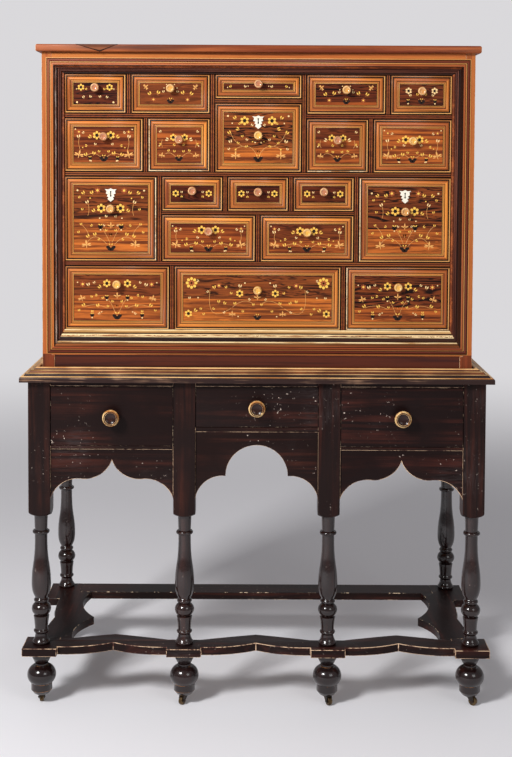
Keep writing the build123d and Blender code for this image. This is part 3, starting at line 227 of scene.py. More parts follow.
# ================================================================ node trees
class Wire:
    """One socket of a node tree. Arithmetic on it adds the maths nodes."""

    def __init__(self, plan, socket):
        self.plan = plan
        self.socket = socket

    def _combine(self, operation, first, second):
        kinds = [part.socket.type for part in (first, second) if isinstance(part, Wire)]
        if "VECTOR" in kinds:
            parts = [(part,) * 3 if isinstance(part, (int, float)) else part for part in (first, second)]
            return self.plan.node("ShaderNodeVectorMath", {"operation": operation}, dict(enumerate(parts)))
        return self.plan.node("ShaderNodeMath", {"operation": operation}, {0: first, 1: second})

    def __add__(self, other):
        return self._combine("ADD", self, other)

    def __radd__(self, other):
        return self._combine("ADD", other, self)

    def __sub__(self, other):
        return self._combine("SUBTRACT", self, other)

    def __rsub__(self, other):
        return self._combine("SUBTRACT", other, self)

    def __mul__(self, other):
        return self._combine("MULTIPLY", self, other)

    def __rmul__(self, other):
        return self._combine("MULTIPLY", other, self)

    def __truediv__(self, other):
        return self._combine("DIVIDE", self, other)

    def sibling(self, number):
        """Another output of the same node."""
        return Wire(self.plan, self.socket.node.outputs[number])

    def equals(self, number):
        """True where an integer or float is this number."""
        return self._combine("COMPARE", self, number)

    def scaled(self, amount):
        """This vector times one number."""
        return self.plan.node("ShaderNodeVectorMath", {"operation": "SCALE"}, {0: self, "Scale": amount})

    def absolute(self):
        """This number without its sign."""
        return self.plan.node("ShaderNodeMath", {"operation": "ABSOLUTE"}, {0: self})

    def rise(self, low, high):
        """Zero up to low, one from high, and a soft step between."""
        inputs = {"Value": self, "From Min": low, "From Max": high}
        return self.plan.node("ShaderNodeMapRange", {"interpolation_type": "SMOOTHSTEP"}, inputs)


class Plan:
    """A node tree that is written as expressions."""

    def __init__(self, tree):
        self.tree = tree

    def feed(self, socket, value):
        """Gives a socket a link, a material or a plain value."""
        if isinstance(value, Wire):
            self.tree.links.new(value.socket, socket)
        elif socket.type == "RGBA":
            socket.default_value = (*value[:3], 1.0)
        else:
            socket.default_value = value

    def node(self, kind, settings=None, inputs=None, output=0):
        """Adds a node; its settings come first, then the values and links of its inputs."""
        node = self.tree.nodes.new(kind)
        for key, value in (settings or {}).items():
            setattr(node, key, value)
        for key, value in (inputs or {}).items():
            self.feed(node.inputs[key], value)
        return Wire(self, node.outputs[output])


class Finish(Plan):
    """A material whose colour, gloss and relief are worked out by nodes."""

    BOARD_SHIFT = (31.7, 17.3, 23.9)

    def __init__(self, name):
        self.material = bpy.data.materials.new(name)
        self.material.use_nodes = True
        super().__init__(self.material.node_tree)
        self.shader = self.tree.nodes["Principled BSDF"]

    def place(self):
        """Object coordinates."""
        return self.node("ShaderNodeTexCoord", output="Object")

    def mark(self, name, output="Fac"):
        """An attribute of the mesh."""
        return self.node("ShaderNodeAttribute", {"attribute_name": name}, output=output)

    def grain(self, along, across):
        """Coordinates drawn out along each board's own grain, and shifted from board to board."""
        place = self.place()
        run = self.mark("grain", "Vector")
        reach = self.node("ShaderNodeVectorMath", {"operation": "DOT_PRODUCT"}, {0: place, 1: run}, "Value")
        shift = self.node("ShaderNodeVectorMath", {"operation": "SCALE"}, {0: self.BOARD_SHIFT})
        self.feed(shift.socket.node.inputs["Scale"], self.mark("board"))
        return place.scaled(across) + run.scaled(reach * (along - across)) + shift

    def noise(self, vector, scale=1.0, detail=3.0, roughness=0.5, distortion=0.0):
        """Noise between 0 and 1."""
        inputs = {"Vector": vector, "Scale": scale, "Detail": detail, "Roughness": roughness}
        return self.node("ShaderNodeTexNoise", inputs={**inputs, "Distortion": distortion})

    def mix(self, first, second, share):
        """One colour, with another laid over it by a share."""
        inputs = {0: share, 6: first, 7: second}
        return self.node("ShaderNodeMix", {"data_type": "RGBA"}, inputs, 2)

    def toned(self, tint, spread=0.5):
        """A colour, lighter or darker by each board's own tone."""
        tone = self.mark("tone")
        inputs = {"Hue": 0.492 + tone * 0.016, "Value": tone * spread + (1 - 0.5 * spread), "Color": tint}
        return self.node("ShaderNodeHueSaturation", inputs=inputs)

    def shade(self, tint, roughness, relief=None, depth=0.0002, strength=0.6, specular=0.35, **constants):
        """Connects the shader: colour, roughness and relief may vary, and the rest is constant."""
        self.shader.inputs["Specular IOR Level"].default_value = specular
        self.feed(self.shader.inputs["Base Color"], tint)
        self.feed(self.shader.inputs["Roughness"], roughness)
        if relief is not None:
            inputs = {"Height": relief, "Distance": depth, "Strength": strength}
            self.feed(self.shader.inputs["Normal"], self.node("ShaderNodeBump", inputs=inputs))
        for key, value in constants.items():
            self.shader.inputs[key.replace("_", " ").title()].default_value = value
        return self.material


class Recipe(Plan):
    """A geometry tree with named inputs, run once and turned to a plain mesh."""

    def __init__(self, name, numbers, materials, places=()):
        super().__init__(bpy.data.node_groups.new(name, "GeometryNodeTree"))
        inputs = {"Geometry": ("Geometry",), "Float": numbers, "Vector": places, "Material": materials}
        for kind, labels in inputs.items():
            for label in labels:
                self.tree.interface.new_socket(label, in_out="INPUT", socket_type="NodeSocket" + kind)
        self.tree.interface.new_socket("Geometry", in_out="OUTPUT", socket_type="NodeSocketGeometry")
        self.entry = self.tree.nodes.new("NodeGroupInput")
        self.exit = self.tree.nodes.new("NodeGroupOutput")

    def given(self, label):
        """An input of the tree."""
        return Wire(self, self.entry.outputs[label])

    def rectangle(self, width, height):
        """A closed rectangle about the origin."""
        inputs = {"Width": width, "Height": height}
        return self.node("GeometryNodeCurvePrimitiveQuadrilateral", {"mode": "RECTANGLE"}, inputs)

    def named(self, name, kind="FLOAT"):
        """An attribute of the geometry."""
        return self.node("GeometryNodeInputNamedAttribute", {"data_type": kind}, {"Name": name})

    def path(self, drawing):
        """The edges of a drawing in the upright plane, as curves that face forwards."""
        curve = self.node("GeometryNodeMeshToCurve", inputs={"Mesh": drawing})
        return self.node("GeometryNodeSetCurveNormal", {"mode": "FREE"}, {"Curve": curve, "Normal": (0, 1, 0)})

    def sweep(self, path, profile, scale=1.0):
        """A closed solid of one section along a path."""
        inputs = {"Curve": path, "Profile Curve": profile, "Scale": scale, "Fill Caps": True}
        return self.node("GeometryNodeCurveToMesh", inputs=inputs)

    def tagged(self, geometry, number):
        """Geometry that remembers which finish it takes."""
        settings = {"data_type": "INT", "domain": "FACE"}
        inputs = {"Geometry": geometry, "Name": "finish", "Value": number}
        return self.node("GeometryNodeStoreNamedAttribute", settings, inputs)

    def finish(self, parts, finishes, move=None):
        """Ends the tree: joins the parts, realizes what is instanced and sets each part's finish."""
        join = self.tree.nodes.new("GeometryNodeJoinGeometry")
        for part in reversed(parts):
            self.tree.links.new(part.socket, join.inputs[0])
        geometry = Wire(self, join.outputs[0])
        if move is not None:
            inputs = {"Geometry": geometry, "Translation": move, "Rotation": (math.pi / 2, 0, 0)}
            geometry = self.node("GeometryNodeTransform", inputs=inputs)
        geometry = self.node("GeometryNodeRealizeInstances", inputs={"Geometry": geometry})
        for number, material in enumerate(finishes):
            chosen = self.named("finish", "INT").equals(number)
            inputs = {"Geometry": geometry, "Selection": chosen, "Material": material}
            geometry = self.node("GeometryNodeSetMaterial", inputs=inputs)
        self.tree.links.new(geometry.socket, self.exit.inputs[0])

    def run(self, name, values, mesh=None):
        """Runs the tree on a new object and keeps the result as its plain mesh."""
        piece = placed(name, mesh or bpy.data.meshes.new(name))
        modifier = piece.modifiers.new(self.tree.name, "NODES")
        modifier.node_group = self.tree
        for item in self.tree.interface.items_tree:
            if item.in_out == "INPUT" and item.name in values:
                modifier[item.identifier] = values[item.name]
        graph = bpy.context.evaluated_depsgraph_get()
        result = bpy.data.meshes.new_from_object(piece.evaluated_get(graph), depsgraph=graph)
        piece.modifiers.remove(modifier)
        piece.data = result
        result.name = name
        return piece


# ================================================================ solids of a node
@cache
def solids(node):
    """Splits a node's mesh into its closed solids, each a (points, triangles) pair, in their order."""
    mesh = frame["nodes"][node].data
    places = {}
    index = []
    for vertex in mesh.vertices:
        key = tuple(round(c * 1e6) for c in vertex.co)
        index.append(places.setdefault(key, len(places)))
    points = [Vector(key) * 1e-6 for key in places]
    runs = []
    run = []
    unmatched = {}
    for polygon in mesh.polygons:
        corners = [index[i] for i in polygon.vertices]
        if len(set(corners)) < len(corners):
            continue
        run.append(corners)
        for a, b in zip(corners, corners[1:] + corners[:1]):
            if unmatched.get((b, a)):
                unmatched[b, a] -= 1
                if not unmatched[b, a]:
                    del unmatched[b, a]
            else:
                unmatched[a, b] = unmatched.get((a, b), 0) + 1
        if not unmatched:
            runs.append(run)
            run = []
    return [(points, run) for run in runs]


def extent(solid):
    """Lowest and highest corner of a solid."""
    points, run = solid
    used = [points[i] for i in {i for corners in run for i in corners}]
    low = Vector(min(p[axis] for p in used) for axis in range(3))
    high = Vector(max(p[axis] for p in used) for axis in range(3))
    return low, high


def longest_axis(low, high):
    """Unit vector along the longest side of a box."""
    span = high - low
    axis = max(range(3), key=lambda i: span[i])
    return Vector(1.0 if i == axis else 0.0 for i in range(3))


def rounded(solid, arris, segments, cuts=()):
    """A solid with its flats whole again and its sharp edges rounded; rounded faces are marked worn."""
    points, run = solid
    shape = bmesh.new()
    corners = {i: shape.verts.new(points[i]) for i in sorted({i for face in run for i in face})}
    for face in run:
        try:
            shape.faces.new([corners[i] for i in face])
        except ValueError:
            continue
    shape.normal_update()
    bmesh.ops.dissolve_limit(shape, angle_limit=COPLANAR, verts=shape.verts, edges=shape.edges)
    for place, normal in cuts:
        parts = shape.verts[:] + shape.edges[:] + shape.faces[:]
        bmesh.ops.bisect_plane(shape, geom=parts, dist=1e-6, plane_co=place, plane_no=normal)
    shape.normal_update()
    sharp = [e for e in shape.edges if e.is_manifold and e.calc_face_angle(0.0) > SHARP]
    curved = set()
    for edge in shape.edges:
        if edge.is_manifold and 2 * COPLANAR < edge.calc_face_angle(0.0) <= SHARP:
            curved.update(face.index for face in edge.link_faces)
    for face in shape.faces:
        face.smooth = face.index in curved
        face.material_index = 0
    if arris > 0:
        bmesh.ops.bevel(
            shape, geom=sharp, offset=arris, segments=segments, profile=0.5, affect="EDGES",
            clamp_overlap=True, material=WORN, loop_slide=True,
        )
        for face in shape.faces:
            face.smooth = face.smooth or face.material_index == WORN
    shape.normal_update()
    return shape


def dress(
    name, node, slot, finishes, picks=None, arris=None, segments=2, grain=None, tone=None, paint=None, cuts=()
):
    """Makes one piece from solids of a node, rounds it, gives each solid its own grain, and lets it ride.

    The finishes are for flats and worn edges, and for what else the painter names by number.
    """
    arris = sizes().case_edge if arris is None else arris
    vertices, faces, indices, smooth = [], [], [], []
    marks = {"grain": [], "board": [], "tone": []}
    for number, solid in enumerate(solids(node)):
        if picks is not None and number not in picks:
            continue
        chance = random.Random(f"{node} {number}")
        low, high = extent(solid)
        run = grain(low, high) if grain else longest_axis(low, high)
        board = chance.random()
        shade = chance.uniform(0.25, 0.75) if tone is None else tone
        shape = rounded(solid, arris, segments, cuts)
        start = len(vertices)
        shape.verts.index_update()
        vertices += [v.co.copy() for v in shape.verts]
        for face in shape.faces:
            faces.append([start + v.index for v in face.verts])
            kind = face.material_index
            if paint and (kind != WORN or len(finishes) == 1):
                kind = paint(number, face.calc_center_median(), face.normal)
            indices.append(min(kind, len(finishes) - 1))
            smooth.append(face.smooth)
            marks["grain"].append(run)
            marks["board"].append(board)
            marks["tone"].append(shade)
        shape.free()
    mesh = bpy.data.meshes.new(name)
    mesh.from_pydata(vertices, [], faces)
    for kind in finishes:
        mesh.materials.append(finish(kind))
    mesh.polygons.foreach_set("material_index", indices)
    mesh.polygons.foreach_set("use_smooth", smooth)
    mark(mesh, marks)
    mesh.set_sharp_from_angle(angle=SMOOTH)
    piece = placed(name, mesh)
    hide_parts(node)
    # A moving node is a body of its own name, and all others belong to the cabinet.
    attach(piece, node if node in frame["bodies"] else CARCASS)


def mark(mesh, marks):
    """Stores values for each face of a mesh: a number for all faces, or one for each."""
    count = len(mesh.polygons)
    for key, values in marks.items():
        if not isinstance(values, list):
            values = [values] * count
        vector = key == "grain"
        attribute = mesh.attributes.new(key, "FLOAT_VECTOR" if vector else "FLOAT", "FACE")
        if vector:
            attribute.data.foreach_set("vector", [c for value in values for c in value])
        else:
            attribute.data.foreach_set("value", values)


# ================================================================ finishes
def wood(name, light, dark, vein, figure=60.0, veins=0.5, pore=0.4, gloss=0.34, spread=0.6, specular=0.24):
    """Polished wood: broad figure, dark veins and fine pores, all drawn along the grain."""
    plan = Finish(name)
    ribbon = plan.noise(plan.grain(1.6, figure), detail=6.0, distortion=0.5)
    wander = plan.noise(plan.grain(0.8, 0.45 * figure), detail=4.0, distortion=1.1)
    pores = plan.noise(plan.grain(22.0, 14.0 * figure), detail=2.0)
    body = plan.mix(dark, light, ribbon.rise(0.38, 0.60))
    veined = plan.mix(body, vein, wander.rise(0.53, 0.64) * veins)
    fibred = plan.mix(veined, vein, pores.rise(0.52, 0.75) * pore)
    return plan.shade(plan.toned(fibred, spread), gloss + pores * 0.14, relief=pores, specular=specular)


def plain(name, tint, roughness=0.34, specular=0.3):
    """Thin work of one colour."""
    return Finish(name).shade(tint, roughness, specular=specular)


def field_veneer(name):
    """Streaked veneer of the drawer fields, darker above a seam and plainer below it."""
    tint = woods()
    plan = Finish(name)
    ribbon = plan.noise(plan.grain(3.6, 130.0), detail=8.0, roughness=0.66, distortion=0.5)
    wander = plan.noise(plan.grain(3.2, 46.0), detail=4.0, distortion=1.6)
    pores = plan.noise(plan.grain(30.0, 900.0), detail=2.0)
    streak = plan.mark("streak")
    body = plan.mix(tint.field_dark, tint.field_light, ribbon.rise(0.40, 0.60))
    height = plan.node("ShaderNodeSeparateXYZ", inputs={0: plan.place()}, output="Z")
    above = (height - plan.mark("seam") + (wander - 0.5) * 0.012).rise(-0.0012, 0.0012)
    dusk = plan.mix(body, tint.field_dark, above * 0.75)
    first = 1 - (wander - 0.5).absolute() * 30
    second = 1 - (wander - 0.43).absolute() * 40
    lines = plan.node("ShaderNodeMath", {"operation": "MAXIMUM"}, {0: first, 1: second})
    veins = lines.rise(0.1, 0.7) * streak * (0.45 + above * 0.55)
    broad = wander.rise(0.56, 0.66) * streak * above
    veined = plan.mix(plan.mix(dusk, tint.field_vein, veins), tint.field_vein, broad)
    fibred = plan.mix(veined, tint.field_vein, pores.rise(0.55, 0.8) * 0.3)
    return plan.shade(plan.toned(fibred, 1.1), 0.3 + pores * 0.14, relief=pores, specular=0.16)


def stained(name, gloss, reds, scuffs, specular=0.13, **constants):
    """Black stain over brown wood: rubbed thin along the grain, with a dull bloom, specks and scuffs."""
    tint = woods()
    plan = Finish(name)
    ribbon = plan.noise(plan.grain(2.2, 55.0), detail=7.0, roughness=0.6, distortion=0.8)
    cloud = plan.noise(plan.place(), scale=7.0, detail=4.0)
    fine = plan.noise(plan.grain(40.0, 700.0), detail=2.0)
    chips = plan.noise(plan.place(), scale=150.0, detail=3.0, roughness=0.6)
    rubbed = plan.mix(tint.ebonised, tint.ebonised_red, ribbon.rise(0.42, 0.78) * cloud.rise(0.3, 0.65) * reds)
    bloomed = plan.mix(rubbed, (0.070, 0.055, 0.055), cloud.rise(0.52, 0.74) * fine.rise(0.40, 0.62) * 0.35)
    chip = chips.rise(0.675, 0.71) * cloud.rise(0.45, 0.58) * scuffs
    chipped = plan.mix(bloomed, (0.62, 0.500, 0.420), chip)
    fibred = plan.mix(chipped, (0.004, 0.002, 0.002), fine.rise(0.55, 0.8) * 0.5)
    roughness = gloss + cloud * 0.16 + fine * 0.1
    toned = plan.toned(fibred, 0.5)
    return plan.shade(toned, roughness, relief=fine - chip * 2.0, specular=specular, **constants)


def worn(name, base, bare, low, high, gloss):
    """An edge where the finish is rubbed through in places."""
    plan = Finish(name)
    rub = plan.noise(plan.place(), scale=26.0, detail=5.0, roughness=0.7)
    nick = plan.noise(plan.place(), scale=210.0, detail=3.0, roughness=0.6)
    share = (rub * 0.7 + nick * 0.3).rise(low, high)
    return plan.shade(plan.mix(base, bare, share), gloss + nick * 0.25, relief=nick, depth=0.0003)


def rubbed(name, base, bare, scale, detail, roughness, low, high, gloss):
    """A narrow bright line broken along the grain: a painted highlight on the frame moulding's arris, and pale
    reeds with painted highlights on its sill.
    """
    plan = Finish(name)
    wear = plan.noise(plan.grain(*scale), detail=detail, roughness=roughness)
    return plan.shade(plan.mix(base, bare, wear.rise(low, high)), gloss + wear * 0.15, relief=wear)


def reed(name, crest, flank, low, high):
    """A reed of the stand's moulding, lighter on its crest by painted highlight and wear."""
    plan = Finish(name)
    rub = plan.noise(plan.grain(7.0, 240.0), detail=5.0, roughness=0.65)
    cloud = plan.noise(plan.place(), scale=14.0, detail=3.0)
    share = (rub * 0.6 + cloud * 0.4).rise(low, high)
    return plan.shade(plan.mix(flank, crest, share), 0.26 + rub * 0.2, relief=rub)


def knob_wood(name):
    """Turned fruitwood and boxwood knobs, pink to yellow by each knob's tone."""
    tint = woods()
    plan = Finish(name)
    rings = plan.noise(plan.grain(60.0, 320.0), detail=4.0, distortion=0.4)
    base = plan.mix(tint.knob_pink, tint.knob_yellow, plan.mark("tone").rise(0.1, 0.9))
    dirt = plan.noise(plan.place(), scale=160.0, detail=3.0)
    shaded = plan.mix(base, (0.16, 0.050, 0.016), rings.rise(0.5, 0.75) * 0.3)
    soiled = plan.mix(shaded, (0.10, 0.035, 0.014), dirt.rise(0.55, 0.75) * 0.5)
    return plan.shade(
        soiled, 0.14 + rings * 0.1, relief=rings, depth=0.0001, specular=0.5, coat_weight=0.8, coat_roughness=0.05
    )


def bone(name):
    """Old bone with brown cracks."""
    plan = Finish(name)
    crack = plan.noise(plan.place(), scale=420.0, detail=4.0, distortion=1.0)
    stain = plan.noise(plan.place(), scale=90.0, detail=2.0)
    aged = plan.mix(woods().bone, (0.62, 0.44, 0.22), stain.rise(0.55, 0.8) * 0.5)
    tint = plan.mix(aged, (0.30, 0.18, 0.08), crack.rise(0.64, 0.7) * 0.6)
    return plan.shade(tint, 0.32 + crack * 0.12, relief=crack)


def metal(name, tint, dull, low, high, gloss):
    """Metal with a patchy tarnish."""
    plan = Finish(name)
    patch = plan.noise(plan.place(), scale=120.0, detail=5.0, roughness=0.6)
    share = patch.rise(low, high)
    return plan.shade(plan.mix(tint, dull, share), gloss + share * 0.3, relief=patch, metallic=1.0)


def floor_finish(name):
    """Pale floor that keeps the object's shadow near it and fades into the backdrop."""
    plan = Finish(name)
    studio = bpy.context.scene.vargueno_studio
    radius = plan.node("ShaderNodeVectorMath", {"operation": "LENGTH"}, {0: plan.place()}, "Value")
    plan.shade(studio.floor, 0.7)
    plain = plan.node("ShaderNodeEmission", inputs={"Color": studio.backdrop, "Strength": 1.0})
    seen = plan.node("ShaderNodeLightPath", output="Is Camera Ray")
    share = radius.rise(FLOOR_NEAR, FLOOR_FAR) * seen
    lit = Wire(plan, plan.shader.outputs[0])
    both = plan.node("ShaderNodeMixShader", inputs={0: share, 1: lit, 2: plain})
    plan.feed(plan.tree.nodes["Material Output"].inputs["Surface"], both)
    return plan.material


# Finishes by name: the function that makes it, and what that function takes. A word stands for a colour of the
# settings, and a last dictionary for further arguments.
FINISHES = {
    # Boards: light figure, dark figure and veins.
    "case_wood": (wood, "case_light", "case_dark", "dark_string", {"figure": 42.0, "veins": 0.7}),
    "cap_wood": (wood, (0.46, 0.125, 0.030), "red_band", "dark_string", {"figure": 48.0, "veins": 0.6}),
    "patch_wood": (wood, (0.26, 0.085, 0.030), (0.12, 0.034, 0.012), "dark_string"),
    "plinth_wood": (
        wood, (0.085, 0.016, 0.006), (0.036, 0.007, 0.005), "dark_string", {"figure": 70.0, "spread": 0.2},
    ),
    "nest_wood": (wood, (0.17, 0.036, 0.010), (0.08, 0.018, 0.006), "dark_string", {"figure": 100.0, "veins": 0.4}),
    "walnut": (wood, (0.17, 0.070, 0.030), (0.080, 0.028, 0.012), "dark_string", {"gloss": 0.42}),
    "deal": (
        wood, "deal", (0.26, 0.125, 0.050), (0.12, 0.050, 0.020), {"figure": 55.0, "veins": 0.35, "gloss": 0.5},
    ),
    "field_veneer": (field_veneer,),
    # Bands, in the same way.
    "face_gold": (
        wood, "face_gold", "case_light", "case_dark", {"figure": 130.0, "veins": 0.85, "pore": 0.6, "gloss": 0.3},
    ),
    "crossbanding": (
        wood, "crossband", "case_light", "case_dark", {"figure": 150.0, "veins": 0.4, "pore": 0.3, "spread": 1.0},
    ),
    "gold_banding": (wood, "gold_band", "face_gold", "case_dark", {"figure": 220.0, "veins": 0.35}),
    "red_banding": (wood, "red_band", "case_dark", "dark_string", {"figure": 120.0}),
    # Members of the frame moulding and its sill.
    "frame_wood": (
        wood, (0.170, 0.055, 0.030), (0.060, 0.015, 0.008), "dark_string", {"figure": 160.0, "veins": 0.6},
    ),
    # Near-black painted shade in the moulding's grooves and steps, and painted shadow in the recess under its head.
    "groove_wood": (wood, (0.040, 0.012, 0.005), "dark_string", "dark_string", {"figure": 120.0}),
    "reed_wood": (wood, (0.72, 0.450, 0.185), (0.42, 0.210, 0.060), "case_dark", {"figure": 190.0}),
    "plinth_light": (wood, (0.34, 0.105, 0.028), "case_dark", "dark_string", {"figure": 150.0, "veins": 0.4}),
    "sill_brown": (wood, (0.26, 0.125, 0.045), (0.115, 0.042, 0.013), "dark_string", {"figure": 170.0}),
    # Painted highlight on the moulding's outer arris, broken along the grain; the sill's cream is pale reeds and
    # painted highlight.
    "polished_arris": (rubbed, (0.30, 0.115, 0.066), (0.88, 0.72, 0.60), (26.0, 300.0), 5.0, 0.7, 0.44, 0.58, 0.22),
    "sill_cream": (rubbed, (0.46, 0.230, 0.080), (0.90, 0.680, 0.360), (12.0, 260.0), 4.0, 0.65, 0.36, 0.54, 0.24),
    # Lines and inlay of one colour.
    "light_string": (plain, "light_string"),
    "face_string": (plain, (0.60, 0.260, 0.066)),
    "dim_string": (plain, "dim_string"),
    "bright_string": (plain, "bright_string"),
    "dark_string": (plain, "dark_string", {"specular": 0.15}),
    "boxwood_inlay": (plain, "boxwood"),
    "pale_inlay": (plain, "pale_wood"),
    "red_inlay": (plain, "red_wood"),
    "stem_inlay": (plain, "stem_wood"),
    "black_inlay": (plain, "black_wood"),
    # Edges: finish, bare wood, where wear begins and is complete, gloss.
    # The pale string is a painted highlight broken by wear, on drawer edges that stand out of line.
    "pale_string": (worn, (0.42, 0.170, 0.045), (0.84, 0.620, 0.360), 0.40, 0.56, 0.3),
    "worn_gold": (worn, "face_gold", (0.86, 0.62, 0.36), 0.42, 0.60, 0.25),
    "worn_brown": (worn, "case_dark", "case_light", 0.45, 0.60, 0.35),
    "worn_black": (worn, "ebonised", (0.80, 0.600, 0.400), 0.52, 0.57, 0.3),
    "worn_arch": (worn, "ebonised_red", (0.74, 0.500, 0.320), 0.42, 0.54, 0.34),
    "worn_turned": (worn, "ebonised", (0.54, 0.230, 0.070), 0.47, 0.57, 0.14),
    # Stain of the stand: gloss, how red it rubs, how scuffed it is.
    "ebonised": (stained, 0.24, 0.9, 0.4),
    "ebonised_turned": (stained, 0.05, 0.4, 0.25, {"specular": 0.45, "coat_weight": 0.35, "coat_roughness": 0.04}),
    "ebonised_board": (stained, 0.24, 1.0, 0.9),
    # Reeds of the stand's moulding: crest, flank, where wear begins and is complete.
    # Crests are lighter by painted highlight and wear; the shadow reed is painted shadow.
    "reed_bright": (reed, (0.88, 0.540, 0.230), (0.50, 0.200, 0.055), 0.38, 0.56),
    "reed_olive": (reed, (0.78, 0.500, 0.220), (0.34, 0.170, 0.055), 0.40, 0.58),
    "reed_rust": (reed, (0.26, 0.080, 0.022), (0.070, 0.018, 0.007), 0.42, 0.66),
    "reed_shadow": (reed, (0.34, 0.190, 0.110), (0.022, 0.007, 0.005), 0.52, 0.68),
    # Knobs, plates and metal.
    "knob_wood": (knob_wood,),
    # Pale rim of the case knobs: a painted highlight broken by wear; it also finishes their worn arrises.
    "knob_shade": (worn, (0.46, 0.200, 0.075), (0.84, 0.560, 0.280), 0.38, 0.56, 0.12),
    "knob_dark": (worn, (0.020, 0.006, 0.004), (0.14, 0.042, 0.014), 0.50, 0.66, 0.10),
    "knob_rim": (worn, (0.46, 0.180, 0.045), (0.92, 0.640, 0.300), 0.40, 0.56, 0.10),
    "bone": (bone,),
    "iron": (metal, "iron", (0.11, 0.055, 0.03), 0.5, 0.7, 0.38),
    "steel": (metal, (0.36, 0.34, 0.32), (0.10, 0.07, 0.05), 0.5, 0.75, 0.28),
    "brass": (metal, "brass", (0.060, 0.038, 0.022), 0.4, 0.66, 0.3),
    "floor_finish": (floor_finish,),
}


def finish(name):
    """The material of this name, made from its row of the table when it is first asked for."""
    known = bpy.data.materials.get(name)
    if known:
        return known
    make, *values = FINISHES[name]
    further = values.pop() if values and isinstance(values[-1], dict) else {}
    values = [getattr(woods(), value) if isinstance(value, str) else value for value in values]
    return make(name, *values, **further)


# ================================================================ case
def band_total(bands):
    """Width of a set of bands together."""
    return sum(width for _, width, _ in bands) * MM


def front_edges(front):
    """A painter that gives the third finish to what faces forwards at this depth."""

    def paint(number, centre, normal):
        return 2 if normal.y < -0.5 and centre.y < front + 1 * MM else 0

    return paint


def build_case():
    """Outer boards, cap and plinth of the case."""
    low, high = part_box("case_sides")
    plinth_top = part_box("front_frame_moulding")[0].z - band_total(FACE_BANDS)

    def side_face(number, centre, normal):
        if normal.y < -0.5 and centre.y < low.y + 1 * MM:
            return 2 if centre.z > plinth_top else 4
        return 0 if abs(centre.x) > high.x - 2 * MM else 3

    finishes = ("case_wood", "worn_gold", "face_gold", "walnut", "red_banding")
    cuts = [(Vector((0, 0, plinth_top)), Vector((0, 0, 1)))]
    dress("case_sides.outer", "case_sides", "case_rosewood", finishes, tone=0.5, paint=side_face, cuts=cuts)
    finishes = ("walnut", "worn_brown", "face_gold")
    for node in ("case_top_panel", "case_bottom"):
        dress(node + ".board", node, "case_rosewood", finishes, paint=front_edges(low.y))
    dress("case_back.board", "case_back", "secondary_timber", LININGS, arris=HIDDEN_EDGE)
    dress("plinth_rail.board", "plinth_rail", "case_rosewood", ("plinth_wood", "plinth_wood"), tone=0.5)
    dress("cap_board.board", "cap_board", "case_rosewood", ("cap_wood", "worn_gold"))
    build_cap_repair()


# Left end, foot and right end of the wedge, across the cap.
WEDGE = (-417 * MM, -361 * MM, -319 * MM)


def build_cap_repair():
    """Wedge let into the cap's front edge, with open dark joints on both sides."""
    low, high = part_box("cap_board")
    left, foot, right = (Vector((x, 0, z)) for x, z in zip(WEDGE, (high.z, low.z, high.z)))
    inset = 0.6 * MM
    shapes = (
        ("cap_board.joints", "dark_string", 0.10 * MM, (left, foot, right)),
        ("cap_board.wedge", "patch_wood", 0.20 * MM, (
            left + Vector((4 * MM, 0, -inset)), foot + Vector((0, 0, 3 * MM)), right + Vector((-4 * MM, 0, -inset)),
        )),
    )
    for name, kind, proud, corners in shapes:
        front = [Vector((c.x, low.y - proud, c.z)) for c in corners]
        back = [Vector((c.x, low.y + 0.5 * MM, c.z)) for c in corners]
        mesh = bpy.data.meshes.new(name)
        mesh.from_pydata(front + back, [], [(0, 1, 2), (5, 4, 3), (0, 3, 4, 1), (1, 4, 5, 2), (2, 5, 3, 0)])
        mesh.materials.append(finish(kind))
        mark(mesh, {"grain": Vector((1, 0, 0)), "board": 0.7, "tone": 0.3})
        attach(placed(name, mesh), CARCASS)


def build_frame_moulding():
    """Frame moulding, with a finish for each member of its section."""
    low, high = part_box("front_frame_moulding")
    nest_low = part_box("case_drawer_5_1")[0]
    nest_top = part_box("case_drawer_1_1")[1].z
    widths = (nest_low.x - low.x, high.z - nest_top, nest_low.x - low.x, nest_low.z - low.z)

    def member(number, centre, normal):
        reach = (centre.x - low.x, high.z - centre.z, high.x - centre.x, centre.z - low.z)[number]
        place = reach / widths[number]
        return next((kind for limit, kind in members[number] if place < limit), members[number][-1][1])

    # Members of each length, from the case's face inwards: how far each reaches, and its finish.
    shadow_line, brown, highlight, hollow, cream_and_highlight, olive, rust, lip = range(8)
    # Painted light: the near-white arris members are a painted highlight, wider on the left side than the right,
    # and the near-black groove members are painted shade, with painted shadow in the recess under the head.
    inner = ((0.51, hollow), (0.53, shadow_line), (0.72, hollow))
    side = ((0.08, shadow_line), (0.20, highlight), (0.36, shadow_line), *inner, (1.0, brown))
    right = ((0.17, shadow_line), (0.22, highlight), *side[2:])
    head = ((0.20, brown), *inner, (1.0, shadow_line))
    # On the sill the cream members are pale reeds, and a painted highlight on the low fillet and the top of the
    # lip.
    sill = (
        (0.10, rust), (0.20, olive), (0.27, cream_and_highlight), (0.52, shadow_line), (0.60, cream_and_highlight), (0.64, rust), (0.72, cream_and_highlight),
        (0.80, shadow_line), (0.93, lip), (1.0, cream_and_highlight),
    )
    members = (side, head, right, sill)
    finishes = (
        "groove_wood", "worn_brown", "polished_arris", "frame_wood",
        "sill_cream", "sill_brown", "plinth_light", "reed_wood",
    )
    cuts = [
        (Vector((low.x + 0.08 * widths[0], 0, 0)), Vector((1, 0, 0))),
        (Vector((0, 0, low.z + 0.10 * widths[3])), Vector((0, 0, 1))),
    ]
    node = "front_frame_moulding"
    dress(node + ".lengths", node, "frame_moulding", finishes, arris=0.0, paint=member, cuts=cuts)


def build_nest():
    """Shelves and uprights between the drawers."""
    edges = front_edges(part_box("nest_shelves")[0].y)
    for node in ("nest_shelves", "nest_uprights"):
        finishes = ("walnut", "worn_brown", "nest_wood")
        dress(node + ".boards", node, "nest_edging", finishes, arris=FINE_EDGE, paint=edges)


